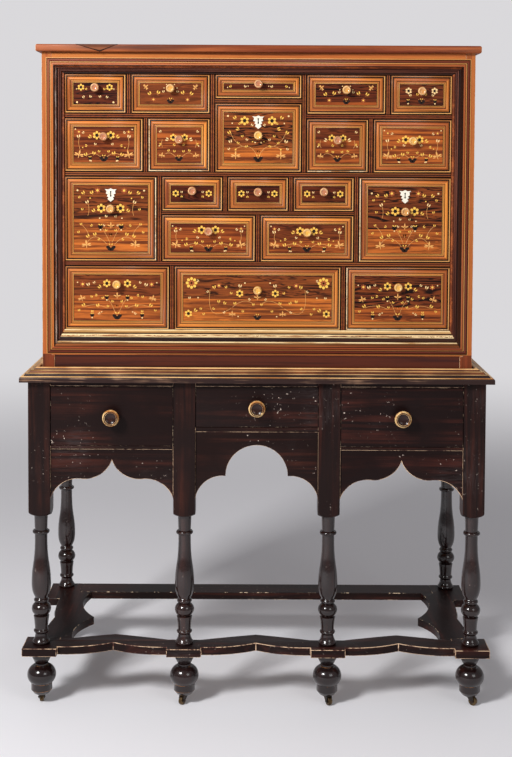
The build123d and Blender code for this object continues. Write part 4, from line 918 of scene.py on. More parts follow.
def edge_line_recipe():
    """Lines side by side along every edge of a wire drawing, the same on both sides of it."""
    kinds = list(dict.fromkeys(kind for _, _, _, kind in NEST_LINES))
    numbers = [f"{label} {size}" for label, _, _, _ in NEST_LINES for size in ("place", "width")]
    recipe = Recipe("edge_lines", ["Thickness", *numbers], kinds)
    path = recipe.path(recipe.given("Geometry"))
    fit = recipe.named("fit")
    parts = []
    for label, place, _, kind in NEST_LINES:
        strip = recipe.rectangle(recipe.given("Thickness"), recipe.given(label + " width"))
        for side in (-1, 1) if place else (1,):
            offset = recipe.node("ShaderNodeCombineXYZ", inputs={"Y": recipe.given(label + " place") * side})
            moved = recipe.node("GeometryNodeTransform", inputs={"Geometry": strip, "Translation": offset})
            parts.append(recipe.tagged(recipe.sweep(path, moved, fit), kinds.index(kind)))
    recipe.finish(parts, [recipe.given(kind) for kind in kinds])
    return recipe


def build_nest_lines():
    """Dark and light lines along the front edges of the shelves and uprights: inlaid lines, and an outer dark pair
    that is painted shadow beside the drawers.
    """
    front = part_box("nest_shelves")[0].y - VENEER_PROUD
    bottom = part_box("case_drawer_5_1")[0].z
    nest_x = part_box("case_drawer_5_3")[1].x
    points = []
    fits = []
    for node in ("nest_shelves", "nest_uprights"):
        for solid in solids(node):
            low, high = extent(solid)
            centre = (low + high) / 2
            level = high.x - low.x > high.z - low.z
            breadth = high.z - low.z if level else high.x - low.x
            fit = breadth / NEST_BOARD
            if fit > 1.1 or centre.z < bottom or abs(centre.x) > nest_x:
                continue
            fits += [fit, fit]
            if level:
                left = low.x + HOUSING if low.x > -nest_x else -nest_x
                right = high.x - HOUSING if high.x < nest_x else nest_x
                ends = [(left, centre.z), (right, centre.z)]
            else:
                ends = [(centre.x, low.z + HOUSING), (centre.x, high.z - HOUSING)]
            points += [(x, front, z) for x, z in ends]
    mesh = bpy.data.meshes.new("nest_lines")
    mesh.from_pydata(points, [(i, i + 1) for i in range(0, len(points), 2)], [])
    mesh.attributes.new("fit", "FLOAT", "POINT").data.foreach_set("value", fits)
    values = {"Thickness": VENEER}
    for label, place, width, kind in NEST_LINES:
        values[label + " place"] = place * MM
        values[label + " width"] = width * MM
        values[kind] = finish(kind)
    piece = edge_line_recipe().run("nest_edges.lines", values, mesh)
    mark(piece.data, {"grain": Vector((1, 0, 0)), "board": 0.3, "tone": 0.25})
    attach(piece, CARCASS)


# ================================================================ banding
def banding_recipe(name, bands, wanted, field):
    """Mitred bands one inside another from the edge in, and the field they enclose."""
    kinds = list(dict.fromkeys(kind for _, _, kind in bands if kind in wanted))
    if field:
        kinds.append(field)
    numbers = ["Width", "Height", "Thickness", *(label for label, _, _ in bands)]
    recipe = Recipe(name, numbers, kinds, places=["Place"])
    width, height, thickness = (recipe.given(label) for label in ("Width", "Height", "Thickness"))
    corner = math.sqrt(2)
    parts = []
    inset = recipe.given(bands[0][0]) * 0.0
    for label, _, kind in bands:
        band = recipe.given(label)
        if kind in wanted:
            middle = inset + band * 0.5
            ring = recipe.rectangle(width - middle * 2, height - middle * 2)
            swept = recipe.sweep(ring, recipe.rectangle(band, thickness / corner), corner)
            parts.append(recipe.tagged(swept, kinds.index(kind)))
        inset = inset + band
    if field:
        size = {"X": width - inset * 2, "Y": height - inset * 2, "Z": thickness}
        size = recipe.node("ShaderNodeCombineXYZ", inputs=size)
        block = recipe.node("GeometryNodeMeshCube", inputs={"Size": size})
        parts.append(recipe.tagged(block, kinds.index(field)))
    recipe.finish(parts, [recipe.given(kind) for kind in kinds], move=recipe.given("Place"))
    return recipe


def banding(recipe, name, bands, kinds, low, high, front_y, shrink=1.0):
    """Runs a banding recipe on the rectangle between two corners of an upright face."""
    values = {label: width * MM * shrink for label, width, _ in bands}
    values.update({kind: finish(kind) for kind in kinds})
    values["Width"] = high.x - low.x
    values["Height"] = high.z - low.z
    values["Thickness"] = VENEER
    middle = (low + high) / 2
    values["Place"] = (middle.x, front_y - VENEER_PROUD + VENEER / 2, middle.z)
    return recipe.run(name, values)


def side_of(point, low, high):
    """The side of an upright rectangle whose mitred band a point lies in."""
    middle = (low + high) / 2
    half = (high - low) / 2
    offset = point - middle
    if half.x - abs(offset.x) < half.z - abs(offset.z):
        return "left" if offset.x < 0 else "right"
    return "bottom" if offset.z < 0 else "top"


def band_grain(piece, low, high, seed, tones, **extra):
    """Gives each side of a mitred rectangle its own grain, board and tone; its core lies level."""
    chance = random.Random(seed)
    looks = {side: (chance.random(), chance.uniform(0.3, 0.9)) for side in ("left", "right", "bottom", "top")}
    looks["core"] = (chance.random(), 0.5)
    # Every left side is darkened to half its tone: painted shade.
    looks["left"] = (looks["left"][0], 0.5 * looks["left"][1])
    for side, tone in tones.items():
        looks[side] = (looks[side][0], tone)
    middle = (low + high) / 2
    marks = {"grain": [], "board": [], "tone": []}
    for face in piece.data.polygons:
        offset = face.center - middle
        core = max(abs(offset.x), abs(offset.z)) < 1 * MM
        side = "core" if core else side_of(face.center, low, high)
        marks["grain"].append(Vector((0, 0, 1)) if side in ("left", "right") else Vector((1, 0, 0)))
        marks["board"].append(looks[side][0])
        marks["tone"].append(looks[side][1])
    mark(piece.data, {**marks, **extra})


def retint_strings(piece, low, high, kind, finishes):
    """Gives one kind of line another finish on some sides of a rectangle."""
    mesh = piece.data
    usual = mesh.materials.find(kind)
    for name in finishes.values():
        if name not in mesh.materials:
            mesh.materials.append(finish(name))
    for face in mesh.polygons:
        side = side_of(face.center, low, high)
        if face.material_index == usual and side in finishes:
            face.material_index = mesh.materials.find(finishes[side])


def build_face_banding():
    """Lines and bands on the case's face, mitred round the frame moulding."""
    low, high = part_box("front_frame_moulding")
    front = low.y
    total = band_total(FACE_BANDS)
    low = low - Vector((total, 0, total))
    high = high + Vector((total, 0, total))
    wooden = ("red_banding", "face_gold")
    lines = ("face_string", "dark_string")
    recipe = banding_recipe("face_bands", FACE_BANDS, wooden, None)
    piece = banding(recipe, "case_face.bands", FACE_BANDS, wooden, low, high, front)
    band_grain(piece, low, high, "case face", {"left": 0.9, "right": 0.25, "top": 0.35, "bottom": 0.0})
    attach(piece, CARCASS)
    recipe = banding_recipe("face_strings", FACE_BANDS, lines, None)
    piece = banding(recipe, "case_face.strings", FACE_BANDS, lines, low, high, front)
    retint_strings(piece, low, high, "face_string", {"bottom": "dim_string"})
    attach(piece, CARCASS)


def look_of(node):
    """The look of a case drawer, by its row and place."""
    return LOOKS[node.removeprefix("case_drawer_")]


def front_plane():
    """Depth of the case drawers' front faces."""
    drawer = CASE_DRAWERS[0]
    return extent(solids(drawer)[FRONT])[0].y


def band_shrink(low, high):
    """How much the bands narrow on a drawer too low for them."""
    total = band_total(DRAWER_BANDS)
    return min(1.0, (high.z - low.z - LEAST_FIELD) / (2 * total))


def build_veneers():
    """Field, crossbanding and lines on each case drawer's front."""
    wooden = ("crossbanding", "gold_banding")
    lines = ("light_string", "dark_string", "bright_string")
    veneers = banding_recipe("drawer_veneers", DRAWER_BANDS, wooden, "field_veneer")
    strings = banding_recipe("drawer_strings", DRAWER_BANDS, lines, None)
    front = front_plane()
    for node in CASE_DRAWERS:
        low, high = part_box(node)
        look = look_of(node)
        shrink = band_shrink(low, high)
        piece = banding(
            veneers, node + ".veneers", DRAWER_BANDS, (*wooden, "field_veneer"), low, high, front, shrink
        )
        seam = low.z + (high.z - low.z) * look.seam
        band_grain(piece, low, high, node, {"core": look.tone}, streak=look.streaks, seam=seam)
        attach(piece, node)
        piece = banding(strings, node + ".strings", DRAWER_BANDS, lines, low, high, front, shrink)
        # Painted light: the left and top light strings take the dim string, painted shade, and the look's rubbed
        # sides take the pale string, painted highlight and wear.
        finishes = {"left": "dim_string", "top": "dim_string", **dict.fromkeys(look.rubbed, "pale_string")}
        retint_strings(piece, low, high, "light_string", finishes)
        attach(piece, node)


# ================================================================ marquetry
YELLOW, PALE, RED, BLACK, STEM = range(5)
# Names and finishes of these tints, in the same order.
INLAYS = {
    "Yellow": "boxwood_inlay",
    "Pale": "pale_inlay",
    "Red": "red_inlay",
    "Black": "black_inlay",
    "Stems": "stem_inlay",
}
# Each layer of inlay stands this much prouder than the one below it.
LAYER = 0.025 * MM


class Marquetry:
    """Leaves, petals and stems of one drawer front, in millimetres about the middle of its field."""

    def __init__(self):
        self.leaves = []
        self.stems = []

    def leaf(self, x, z, long, wide, turn, tint, pointed=True, layer=2):
        """One leaf, and its mirror image when it is off the middle."""
        self.leaves.append((x, z, long, wide, turn, tint, pointed, layer))
        if abs(x) > 0.01:
            self.leaves.append((-x, z, long, wide, math.pi - turn, tint, pointed, layer))

    def dot(self, x, z, across=4.4, tint=PALE, layer=3):
        """A round dot."""
        self.leaf(x, z, across, across, 0.0, tint, pointed=False, layer=layer)

    def spoke(self, x, z, angle, reach, *leaf, **extra):
        """A leaf whose middle lies away from a point, in the direction of an angle."""
        self.leaf(x + reach * math.cos(angle), z + reach * math.sin(angle), *leaf, **extra)

    def pair(self, x, z, lean=0.0, long=7.0, tint=YELLOW):
        """Two leaves side by side like grains of rice, on a short stalk."""
        along = math.pi / 2 + lean
        for side in (-1, 1):
            leaf_x = x + 0.55 * long * math.cos(along) - side * 0.34 * long * math.sin(along)
            leaf_z = z + 0.55 * long * math.sin(along) + side * 0.34 * long * math.cos(along)
            self.leaf(leaf_x, leaf_z, 0.95 * long, 0.40 * long, along + side * 0.12, tint, pointed=False, layer=1)
        self.leaf(x, z, 0.7 * long, 0.14 * long, along, STEM, layer=0)

    def flower(self, x, z, radius=6.6, petals=6, tint=YELLOW, heart=BLACK):
        """Round petals about a dark heart."""
        across = 2 * radius * math.sin(math.pi / petals)
        for petal in range(petals):
            angle = math.pi / 2 + 2 * math.pi * petal / petals
            size = (0.95 * across, 0.88 * across)
            self.spoke(x, z, angle, radius, *size, angle, tint, pointed=False, layer=1 + petal % 2)
        self.dot(x, z, 1.2 * radius, heart)

    def lily(self, x, z, turn=0.0, long=15.0, tint=STEM):
        """A flower of three slender points over a small cup, on a short stalk."""
        for layer, (spread, share) in enumerate(((-1.25, 0.80), (0.0, 0.86), (1.25, 0.80))):
            angle = math.pi / 2 + turn + spread
            self.spoke(x, z, angle, 0.46 * long * share, long * share, 0.26 * long, angle, tint, layer=1 + layer)
        for side in (-1, 1):
            angle = math.pi / 2 + turn + side * 1.75
            self.spoke(x, z, angle, 0.52 * long, 0.52 * long, 0.15 * long, angle - side * 0.3, tint, layer=0)
        self.dot(x, z, 0.30 * long, tint)
        foot_x = x + 0.26 * long * math.sin(turn)
        self.leaf(foot_x, z - 0.26 * long, 0.5 * long, 0.11 * long, math.pi / 2 + turn, tint, layer=0)

    def heart(self, x, z, wide=11.0):
        """A dark heart with two pale leaves on it and a pale dot below."""
        for side in (-1, 1):
            turn = math.pi / 2 - side * 0.45
            self.leaf(x + side * 0.2 * wide, z, 0.85 * wide, 0.6 * wide, turn, BLACK, pointed=False, layer=1)
        for side in (-1, 1):
            turn = math.pi / 2 - side * 0.9
            self.leaf(x + side * 0.24 * wide, z + 0.5 * wide, 0.45 * wide, 0.24 * wide, turn, YELLOW)
        self.dot(x, z - 0.6 * wide, 3.4)

    def urn(self, z, wide=24.0):
        """A dark urn with two raised lobes on a broad foot, and pale sprigs over it."""
        self.leaf(0.27 * wide, z + 0.08 * wide, 0.50 * wide, 0.34 * wide, 0.5, BLACK, pointed=False, layer=0)
        self.leaf(0.14 * wide, z - 0.08 * wide, 0.40 * wide, 0.34 * wide, 0.2, BLACK, pointed=False, layer=1)
        self.leaf(0, z - 0.20 * wide, 0.56 * wide, 0.20 * wide, 0.0, BLACK, pointed=False, layer=0)
        self.leaf(0.13 * wide, z + 0.40 * wide, 0.24 * wide, 0.11 * wide, 0.9, YELLOW)
        self.arc((0.40 * wide, z + 0.34 * wide), (0.14 * wide, z - 0.06 * wide), (0, z + 0.18 * wide))

    def each(self, motif, *rows):
        """One motif several times, with a row of arguments for each."""
        for row in rows:
            motif(*row)

    def keyhole(self, top, bottom, across, slot):
        """Dark wood behind a keyhole."""
        self.dot(0, top, across, BLACK)
        self.dot(0, bottom, across, BLACK)
        self.leaf(0, (top + bottom) / 2, top - bottom + across, 1.4 * slot, math.pi / 2, BLACK, pointed=False)

    def arc(self, start, bend, end):
        """A curved stem and its mirror image."""
        steps = 8
        for side in (1, -1):
            path = []
            for step in range(steps + 1):
                t = step / steps
                weights = ((1 - t) ** 2, 2 * t * (1 - t), t * t)
                x = sum(w * p[0] for w, p in zip(weights, (start, bend, end)))
                z = sum(w * p[1] for w, p in zip(weights, (start, bend, end)))
                path.append((side * x, z))
            self.stems.append(path)

    def mesh(self, name, centre, front_y):
        """A drawing of loose points and edges for the inlay's recipe."""
        points = []
        edges = []
        marks = {"long": [], "wide": [], "turn": [], "finish": [], "pointed": [], "stem": []}

        def add(x, z, layer, *values):
            points.append((centre.x + x * MM, front_y - layer * LAYER, centre.z + z * MM))
            for key, value in zip(marks, values):
                marks[key].append(value)

        for x, z, long, wide, turn, tint, pointed, layer in self.leaves:
            add(x, z, layer, long * MM, wide * MM, turn, tint, float(pointed), 0.0)
        for path in self.stems:
            for place, (x, z) in enumerate(path):
                if place:
                    edges.append((len(points) - 1, len(points)))
                add(x, z, 0, 0.0, 0.0, 0.0, STEM, 0.0, 1.0)
        mesh = bpy.data.meshes.new(name)
        mesh.from_pydata(points, edges, [])
        for key, values in marks.items():
            kind = "INT" if key == "finish" else "FLOAT"
            attribute = mesh.attributes.new(key, kind, "POINT")
            attribute.data.foreach_set("value", values)
        return mesh


def inlay_recipe():
    """Thin leaves on every loose point of a drawing and thin stems along its edges."""
    recipe = Recipe("inlay", ["Thickness", "Stem"], INLAYS)
    chosen = {"Geometry": recipe.given("Geometry"), "Selection": recipe.named("stem")}
    split = recipe.node("GeometryNodeSeparateGeometry", inputs=chosen)
    path = recipe.path(split)
    stems = recipe.sweep(path, recipe.rectangle(recipe.given("Thickness"), recipe.given("Stem")))
    size = {"Vertices": 12, "Radius": 0.5, "Depth": 1.0}
    disc = recipe.node("GeometryNodeMeshCylinder", {"fill_type": "NGON"}, size)
    place = recipe.node("ShaderNodeSeparateXYZ", inputs={0: recipe.node("GeometryNodeInputPosition")})
    x, y, z = (place.sibling(number) for number in range(3))
    narrowed = recipe.node("ShaderNodeCombineXYZ", inputs={"X": x, "Y": y * y.absolute() * 2.0, "Z": z})
    lens = recipe.node("GeometryNodeSetPosition", inputs={"Geometry": disc, "Position": narrowed})
    rotation = recipe.node("ShaderNodeCombineXYZ", inputs={"X": math.pi / 2, "Y": recipe.named("turn") * -1.0})
    size = {"X": recipe.named("long"), "Y": recipe.named("wide"), "Z": recipe.given("Thickness")}
    scale = recipe.node("ShaderNodeCombineXYZ", inputs=size)
    parts = [stems]
    for shape, chosen in ((disc, 1 - recipe.named("pointed")), (lens, recipe.named("pointed"))):
        inputs = {"Points": split.sibling(1), "Selection": chosen, "Instance": shape}
        inputs.update({"Rotation": rotation, "Scale": scale})
        parts.append(recipe.node("GeometryNodeInstanceOnPoints", inputs=inputs))
    recipe.finish(parts, [recipe.given(label) for label in INLAYS])
    return recipe


def twin_flowers(art, w, h, knob):
    """Two flowers beside the knob, lilies in the lower corners and an urn between hearts."""
    art.flower(16, knob + 3)
    art.each(art.pair, (29, knob - 2, -1.0), (w - 12, knob - 3, -0.2, 7.0, PALE))
    art.flower(w - 12, h - 11, 3.2, 5, RED, YELLOW)
    art.dot(w - 4, h - 5, 3.0)
    art.each(
        art.pair, (w - 24, h - 14, -0.9, 5, PALE), (0.55 * w, -0.05 * h, -1.57, 5),
        (0.3 * w, -0.02 * h, 0.4, 5, PALE),
    )
    art.each(art.dot, (0.42 * w, -h + 3.5, 3.2), (0.7 * w, -0.16 * h, 2.8, YELLOW))
    art.lily(w - 12, -h + 17, 0.25)
    art.each(art.pair, (0.58 * w, -h + 15, -0.4), (0.34 * w, -h + 18, 0.2), (0.17 * w, -h + 23, 0.3, 5))
    art.heart(0.46 * w, -h + 9, 8)
    art.urn(-h + 8, min(20, 0.45 * w))
    art.each(
        art.arc, ((0.58 * w, -h + 16), (0.3 * w, -h + 27), (0.12 * w, -h + 13)),
        ((w - 13, knob - 4), (w - 9, knob - 14), (w - 15, -0.3 * h)),
    )


def narrow_flowers(art, w, h, knob):
    """As twin_flowers, for the two drawers that are narrower than they are wide-set."""
    art.flower(13, knob + 5, 5.6)
    art.each(
        art.pair, (24, knob - 1, -1.2, 7.0, PALE), (w - 9, h - 11, -0.7, 5, PALE), (w - 10, 2, -1.57, 5),
        (13, -1, 0.9, 5),
    )
    art.dot(w - 5, -2, 2.8)
    art.each(
        art.arc, ((w - 12, knob), (w - 8, knob - 9), (w - 13, knob - 18)),
        ((0.62 * w, -h + 20), (0.4 * w, -h + 28), (0.14 * w, -h + 13)),
    )
    art.lily(w - 11, -h + 16, 0.15, 10)
    art.each(art.pair, (0.45 * w, -h + 26, -0.5, 5), (0.22 * w, -h + 24, 0.2, 5))
    art.urn(-h + 9, 18)


def corner_sprays(art, w, h, knob):
    """Lilies in the upper corners over a low row of leaves and a scroll flower."""
    art.lily(w - 12, h - 9, 0.9, 10)
    art.each(art.pair, (0.66 * w, -2, -0.6), (0.42 * w, 0, 0.4))
    art.flower(0.56 * w, -h + 11, 3.4, 6, RED, YELLOW)
    art.pair(0.22 * w, 3, -0.3, 5, PALE)
    art.each(art.dot, (9, knob + 9, 2.6), (15, knob + 1, 2.4))
    art.urn(-h + 7, 17)


def ring_flowers(art, w, h, knob):
    """Two ring flowers beside the knob with leaf pairs below."""
    art.flower(0.66 * w, knob + 1, 5.4, 6)
    art.dot(0.86 * w, knob - 3, 2.6)
    art.each(
        art.pair, (0.4 * w, knob - 5, -0.4, 4.5), (0.52 * w, -h + 14, -0.5, 5, PALE),
        (0.24 * w, -h + 15, 0.4, 5, PALE),
    )
    art.dot(w - 8, -h + 4)


def hearts_and_urn(art, w, h, knob):
    """Two pale flowers over hearts, with an urn between."""
    art.flower(0.6 * w, knob + 1, 5.2, 6, PALE)
    art.each(art.pair, (0.5 * w, -3, -0.4, 5, PALE), (0.22 * w, -1, 0.5, 5))
    art.heart(0.62 * w, -h + 9, 8)
    art.urn(-h + 8, 17)


def four_sprigs(art, w, h, knob):
    """Four small sprigs along a low field."""
    art.pair(0.8 * w, -2, -0.5, 5)
    art.dot(0.9 * w, -2, 2.4)
    art.pair(0.4 * w, -2, 0.4, 5, PALE)
    art.dot(0.3 * w, 1, 2.4)


def flower_each_side(art, w, h, knob):
    """A flower each side of the knob."""
    art.flower(w - 11, 1, 5.4)
    art.each(art.pair, (0.5 * w, 2, 0.1, 4.5, PALE), (0.5 * w, -4, 3.0, 4.5))


def lock_spray(art, w, h, knob):
    """Flowers beside the keyhole plate and knob on stems that rise from an urn."""
    art.each(art.pair, (0.2 * w, knob + 22, 0.6, 5, PALE), (0.52 * w, knob + 26, -0.9, 5))
    art.dot(0.76 * w, knob + 28, 3.2)
    art.each(
        art.pair, (0.46 * w, knob - 4, -0.2, 5), (0.6 * w, -h + 44, 0.4, 5),
        (0.84 * w, -h + 30, -0.5, 5, PALE),
    )
    art.flower(0.4 * w, knob + 34, 7.0)
    art.pair(0.66 * w, knob + 38, -0.6)
    art.dot(w - 9, h - 8)
    art.each(
        art.pair, (0.56 * w, knob + 14, -1.2), (0.82 * w, knob + 4, -0.6, 7),
        (0.34 * w, knob - 12, 0.3, 5, PALE),
    )
    art.each(art.dot, (7, knob - 16, 3.4), (13, knob - 14, 3.0, YELLOW))
    art.each(
        art.pair, (0.8 * w, knob - 17, -0.3, 7.0, PALE), (0, -h + 24, 0.0, 6), (0.33 * w, -h + 36, -0.3, 5),
    )
    art.lily(0.66 * w, -h + 16)
    art.dot(0.66 * w, -h + 31, 4.0, YELLOW)
    art.urn(-h + 9, 22)
    art.each(
        art.arc, ((0.8 * w, knob + 6), (0.7 * w, -h + 44), (0.36 * w, -h + 36)),
        ((0.36 * w, -h + 38), (0.14 * w, -h + 40), (0.03 * w, -h + 14)),
        ((0.66 * w, -h + 32), (0.52 * w, -h + 40), (0.34 * w, -h + 38)),
    )


def square_spray(art, w, h, knob):
    """Flowers beside the knob of a large square drawer, over a spray from an urn."""
    art.flower(0.26 * w, knob + 1, 7.0)
    art.each(art.pair, (0.44 * w, knob - 7, -0.7), (0.14 * w, knob - 20, 0.4, 5, PALE))
    art.dot(0.3 * w, knob - 22, 3.2)
    art.each(art.pair, (0.84 * w, knob + 24, -0.4, 5), (0.78 * w, knob - 4, 0.2, 5))
    art.dot(0.56 * w, knob + 24, 3.2, YELLOW)
    art.each(
        art.pair, (0.3 * w, -h + 28, -0.9, 5), (0.2 * w, -h + 60, 0.6, 4.5, PALE),
        (0.86 * w, -h + 44, -0.5, 5),
    )
    art.flower(0.36 * w, knob + 42, 4.6, 6, RED, YELLOW)
    art.each(art.pair, (0.5 * w, knob + 34, -0.4), (0.72 * w, knob + 34, -0.7))
    art.dot(0.9 * w, knob + 42)
    art.pair(0.62 * w, knob + 12, -0.5, 7.0, PALE)
    art.lily(0, -h + 60, 0.0, 12)
    art.heart(0.28 * w, -h + 58)
    art.each(
        art.pair, (0.5 * w, -h + 60, -0.9, 5), (0.8 * w, -h + 62, -0.2, 5), (0.14 * w, -h + 48, 0.3, 5),
        (0.42 * w, -h + 38, -0.3), (0.6 * w, -h + 34, -0.6), (0, -h + 38, 0.0, 6),
    )
    art.lily(0.66 * w, -h + 16, -0.1)
    art.urn(-h + 9, 22)
    art.each(
        art.arc, ((0.64 * w, -h + 22), (0.44 * w, -h + 50), (0.1 * w, -h + 18)),
        ((0.28 * w, -h + 62), (0.14 * w, -h + 44), (0.03 * w, -h + 22)),
        ((0.62 * w, knob + 12), (0.56 * w, knob - 2), (0.62 * w, knob - 16)),
        ((0.78 * w, -h + 62), (0.66 * w, -h + 54), (0.6 * w, -h + 40)),
    )


def lower_spray(art, w, h, knob):
    """Flowers beside the knob, a central lily, hearts and an urn for the wide lower drawers."""
    art.flower(0.24 * w, knob + 2, 6.2)
    art.pair(0.52 * w, knob + 2, -0.6, 5, PALE)
    art.dot(0.92 * w, knob + 4, 3.0)
    art.each(art.pair, (0.6 * w, 0.0 * h, 0.3, 5), (0.12 * w, -0.2 * h, 0.5, 5))
    art.dot(0.36 * w, -0.62 * h, 3.0)
    art.each(
        art.pair, (0.4 * w, -0.72 * h, -0.8, 5, PALE), (0.88 * w, -0.6 * h, -0.2, 5),
        (0.38 * w, knob - 8, -0.9), (0.66 * w, knob - 4, -0.3, 7.0, PALE),
    )
    art.flower(0.8 * w, knob, 4.2, 6, RED, YELLOW)
    art.lily(0.82 * w, -0.05 * h, -0.3, 12)
    art.pair(0.46 * w, 0.1 * h, -1.4, 5)
    art.lily(0, 0.06 * h, 0.0, 12)
    art.heart(0.24 * w, 0.0 * h, 9)
    art.each(
        art.pair, (0.32 * w, -0.05 * h, -0.5, 5), (0.22 * w, -0.42 * h, 0.2, 5), (0.44 * w, -0.4 * h, -0.3),
        (0.76 * w, -0.38 * h, -0.6), (0, -0.4 * h, 0.0, 5),
    )
    art.heart(0.58 * w, -h + 12, 9)
    art.pair(0.58 * w, -h + 19, 0.0, 5)
    art.urn(-h + 9, 22)
    art.each(
        art.arc, ((0.76 * w, -0.4 * h), (0.5 * w, -0.2 * h), (0.24 * w, -0.45 * h)),
        ((0.24 * w, 0.0), (0.1 * w, -0.3 * h), (0.04 * w, -h + 16)),
    )


def broad_spray(art, w, h, knob):
    """Daisies in the upper corners and flowers below, joined by a long scroll from the middle."""
    art.each(art.flower, (w - 19, h - 18, 10.0, 8, YELLOW, RED), (w - 19, h - 18, 4.0, 8, RED, YELLOW))
    art.each(
        art.pair, (w - 36, h - 14, -1.2, 5, PALE), (0.66 * w, knob - 6, -0.8, 5, PALE),
        (0.36 * w, knob - 10, 0.3, 5), (0.12 * w, -0.08 * h, 0.8, 5, PALE), (0.6 * w, -0.5 * h, 0.6, 5),
        (0.44 * w, -0.66 * h, -0.6, 5, PALE), (0.2 * w, -0.62 * h, 0.2, 5), (0.72 * w, -0.74 * h, -0.3, 5),
    )
    art.each(art.dot, (0.8 * w, 0.02 * h, 3.2), (0.26 * w, -0.8 * h, 3.0))
    art.flower(w - 12, -h + 17, 6.0)
    art.each(art.pair, (w - 26, -h + 22, 0.7), (w - 40, -h + 26, 0.2, 5), (w - 15, -2, -0.2, 5, PALE))
    art.flower(0.24 * w, knob - 8, 6.0)
    art.pair(0.24 * w, knob + 6, 0.2, 7.0, PALE)
    art.dot(0.17 * w, knob + 16, 3.6)
    art.pair(0.42 * w, knob + 4, -0.3, 5)
    art.flower(0.52 * w, knob + 10, 4.0, 6, RED, YELLOW)
    art.pair(0.58 * w, knob + 3, -0.2)
    art.lily(0, 0.02 * h, 0.0, 12)
    art.each(art.pair, (0.05 * w, -0.32 * h, -0.3, 5), (0.3 * w, -0.28 * h, -0.2, 6))
    art.lily(0.34 * w, -h + 15, 0.0, 11)
    art.each(art.pair, (0.45 * w, -0.26 * h, 0.5, 6), (0.52 * w, -0.2 * h, -0.1, 6))
    art.each(
        art.arc, ((0.64 * w, knob), (0.7 * w, -1.2 * h), (0.36 * w, -0.45 * h)),
        ((0.34 * w, -0.4 * h), (0.16 * w, 0.1 * h), (0.04 * w, -0.3 * h)),
    )
    art.urn(-h + 8, 18)


class Look(NamedTuple):
    """Look of one case drawer: its field, with the seam's height as a share of the front, its knob, its motifs
    and the sides that stand a little out of line, rubbed pale and lit by a painted highlight."""

    tone: float
    streaks: float
    seam: float
    knob_tone: float
    layout: Callable
    rubbed: tuple = ()


LOOKS = {
    "1_1": Look(0.10, 0.9, 0.00, 0.05, ring_flowers),
    "1_2": Look(0.60, 0.5, 0.00, 0.60, corner_sprays),
    "1_3": Look(0.15, 0.6, 0.00, 0.00, four_sprigs),
    "1_4": Look(0.25, 1.0, 0.30, 0.55, corner_sprays),
    "1_5": Look(0.35, 0.8, 0.20, 0.45, hearts_and_urn),
    "2_1": Look(0.20, 0.8, 0.80, 0.10, twin_flowers),
    "2_2": Look(0.42, 0.3, 0.90, 0.15, narrow_flowers, ("left", "bottom")),
    "2_3": Look(0.75, 1.0, 0.36, 0.95, lock_spray),
    "2_4": Look(0.35, 0.6, 0.60, 0.05, narrow_flowers, ("bottom",)),
    "2_5": Look(0.55, 0.2, 1.00, 0.85, twin_flowers),
    "3_1": Look(0.70, 0.9, 0.50, 0.60, square_spray, ("right",)),
    "3_2": Look(0.05, 0.8, 0.00, 0.05, flower_each_side),
    "3_3": Look(0.05, 0.8, 0.00, 0.10, flower_each_side),
    "3_4": Look(0.15, 0.8, 0.00, 0.00, flower_each_side),
    "3_5": Look(0.60, 1.0, 0.40, 0.50, square_spray, ("left",)),
    "4_1": Look(0.25, 0.5, 0.90, 0.05, twin_flowers),
    "4_2": Look(0.42, 0.6, 0.50, 0.90, twin_flowers),
    "5_1": Look(0.60, 0.7, 0.55, 0.90, lower_spray),
    "5_2": Look(0.80, 0.9, 0.50, 0.85, broad_spray),
    "5_3": Look(0.50, 1.0, 0.35, 0.80, lower_spray, ("left", "bottom")),
}


# A keyhole's upper round below its plate's top, its height between rounds, its rounds and its slot, in mm.
KEYHOLE_DROP = 8.0
KEYHOLE_HEIGHT = 9.5
KEYHOLE_ACROSS = 4.4
KEYHOLE_SLOT = 2.6


def build_marquetry():
    """Inlaid flowers, leaves and stems on each case drawer."""
    recipe = inlay_recipe()
    total = band_total(DRAWER_BANDS)
    front = front_plane()
    thickness = INLAY_PROUD + VENEER / 4
    values = {
        "Thickness": thickness,
        "Stem": sizes().stem,
        **{label: finish(kind) for label, kind in INLAYS.items()},
    }
    for node in CASE_DRAWERS:
        low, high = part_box(node)
        shrink = band_shrink(low, high)
        half_w = (high.x - low.x) / 2 - total * shrink
        half_h = (high.z - low.z) / 2 - total * shrink
        centre = (low + high) / 2
        knob_low, knob_high = extent(solids(node)[KNOB])
        knob = (knob_low.z + knob_high.z) / 2 - centre.z
        art = Marquetry()
        look_of(node).layout(art, half_w / MM, half_h / MM, knob / MM)
        if len(solids(node)) > ESCUTCHEON:
            _, plate_high = extent(solids(node)[ESCUTCHEON])
            top = (plate_high.z - centre.z) / MM - KEYHOLE_DROP
            art.keyhole(top, top - KEYHOLE_HEIGHT, KEYHOLE_ACROSS, KEYHOLE_SLOT)
        mesh = art.mesh(node + ".drawing", centre, front - INLAY_PROUD + thickness / 2)
        piece = recipe.run(node + ".marquetry", values, mesh)
        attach(piece, node)


# ================================================================ drawers
def outer_ring(node, share):
    """A painter that gives the third finish to a knob's front beyond a share of its radius."""
    low, high = extent(solids(node)[KNOB])
    centre = (low + high) / 2
    radius = (high.x - low.x) / 2
    shoulder = low.y + 0.25 * radius

    def ring(number, place, normal):
        reach = math.hypot(place.x - centre.x, place.z - centre.z) / radius
        return 2 if reach > share and place.y < shoulder else 0

    return ring


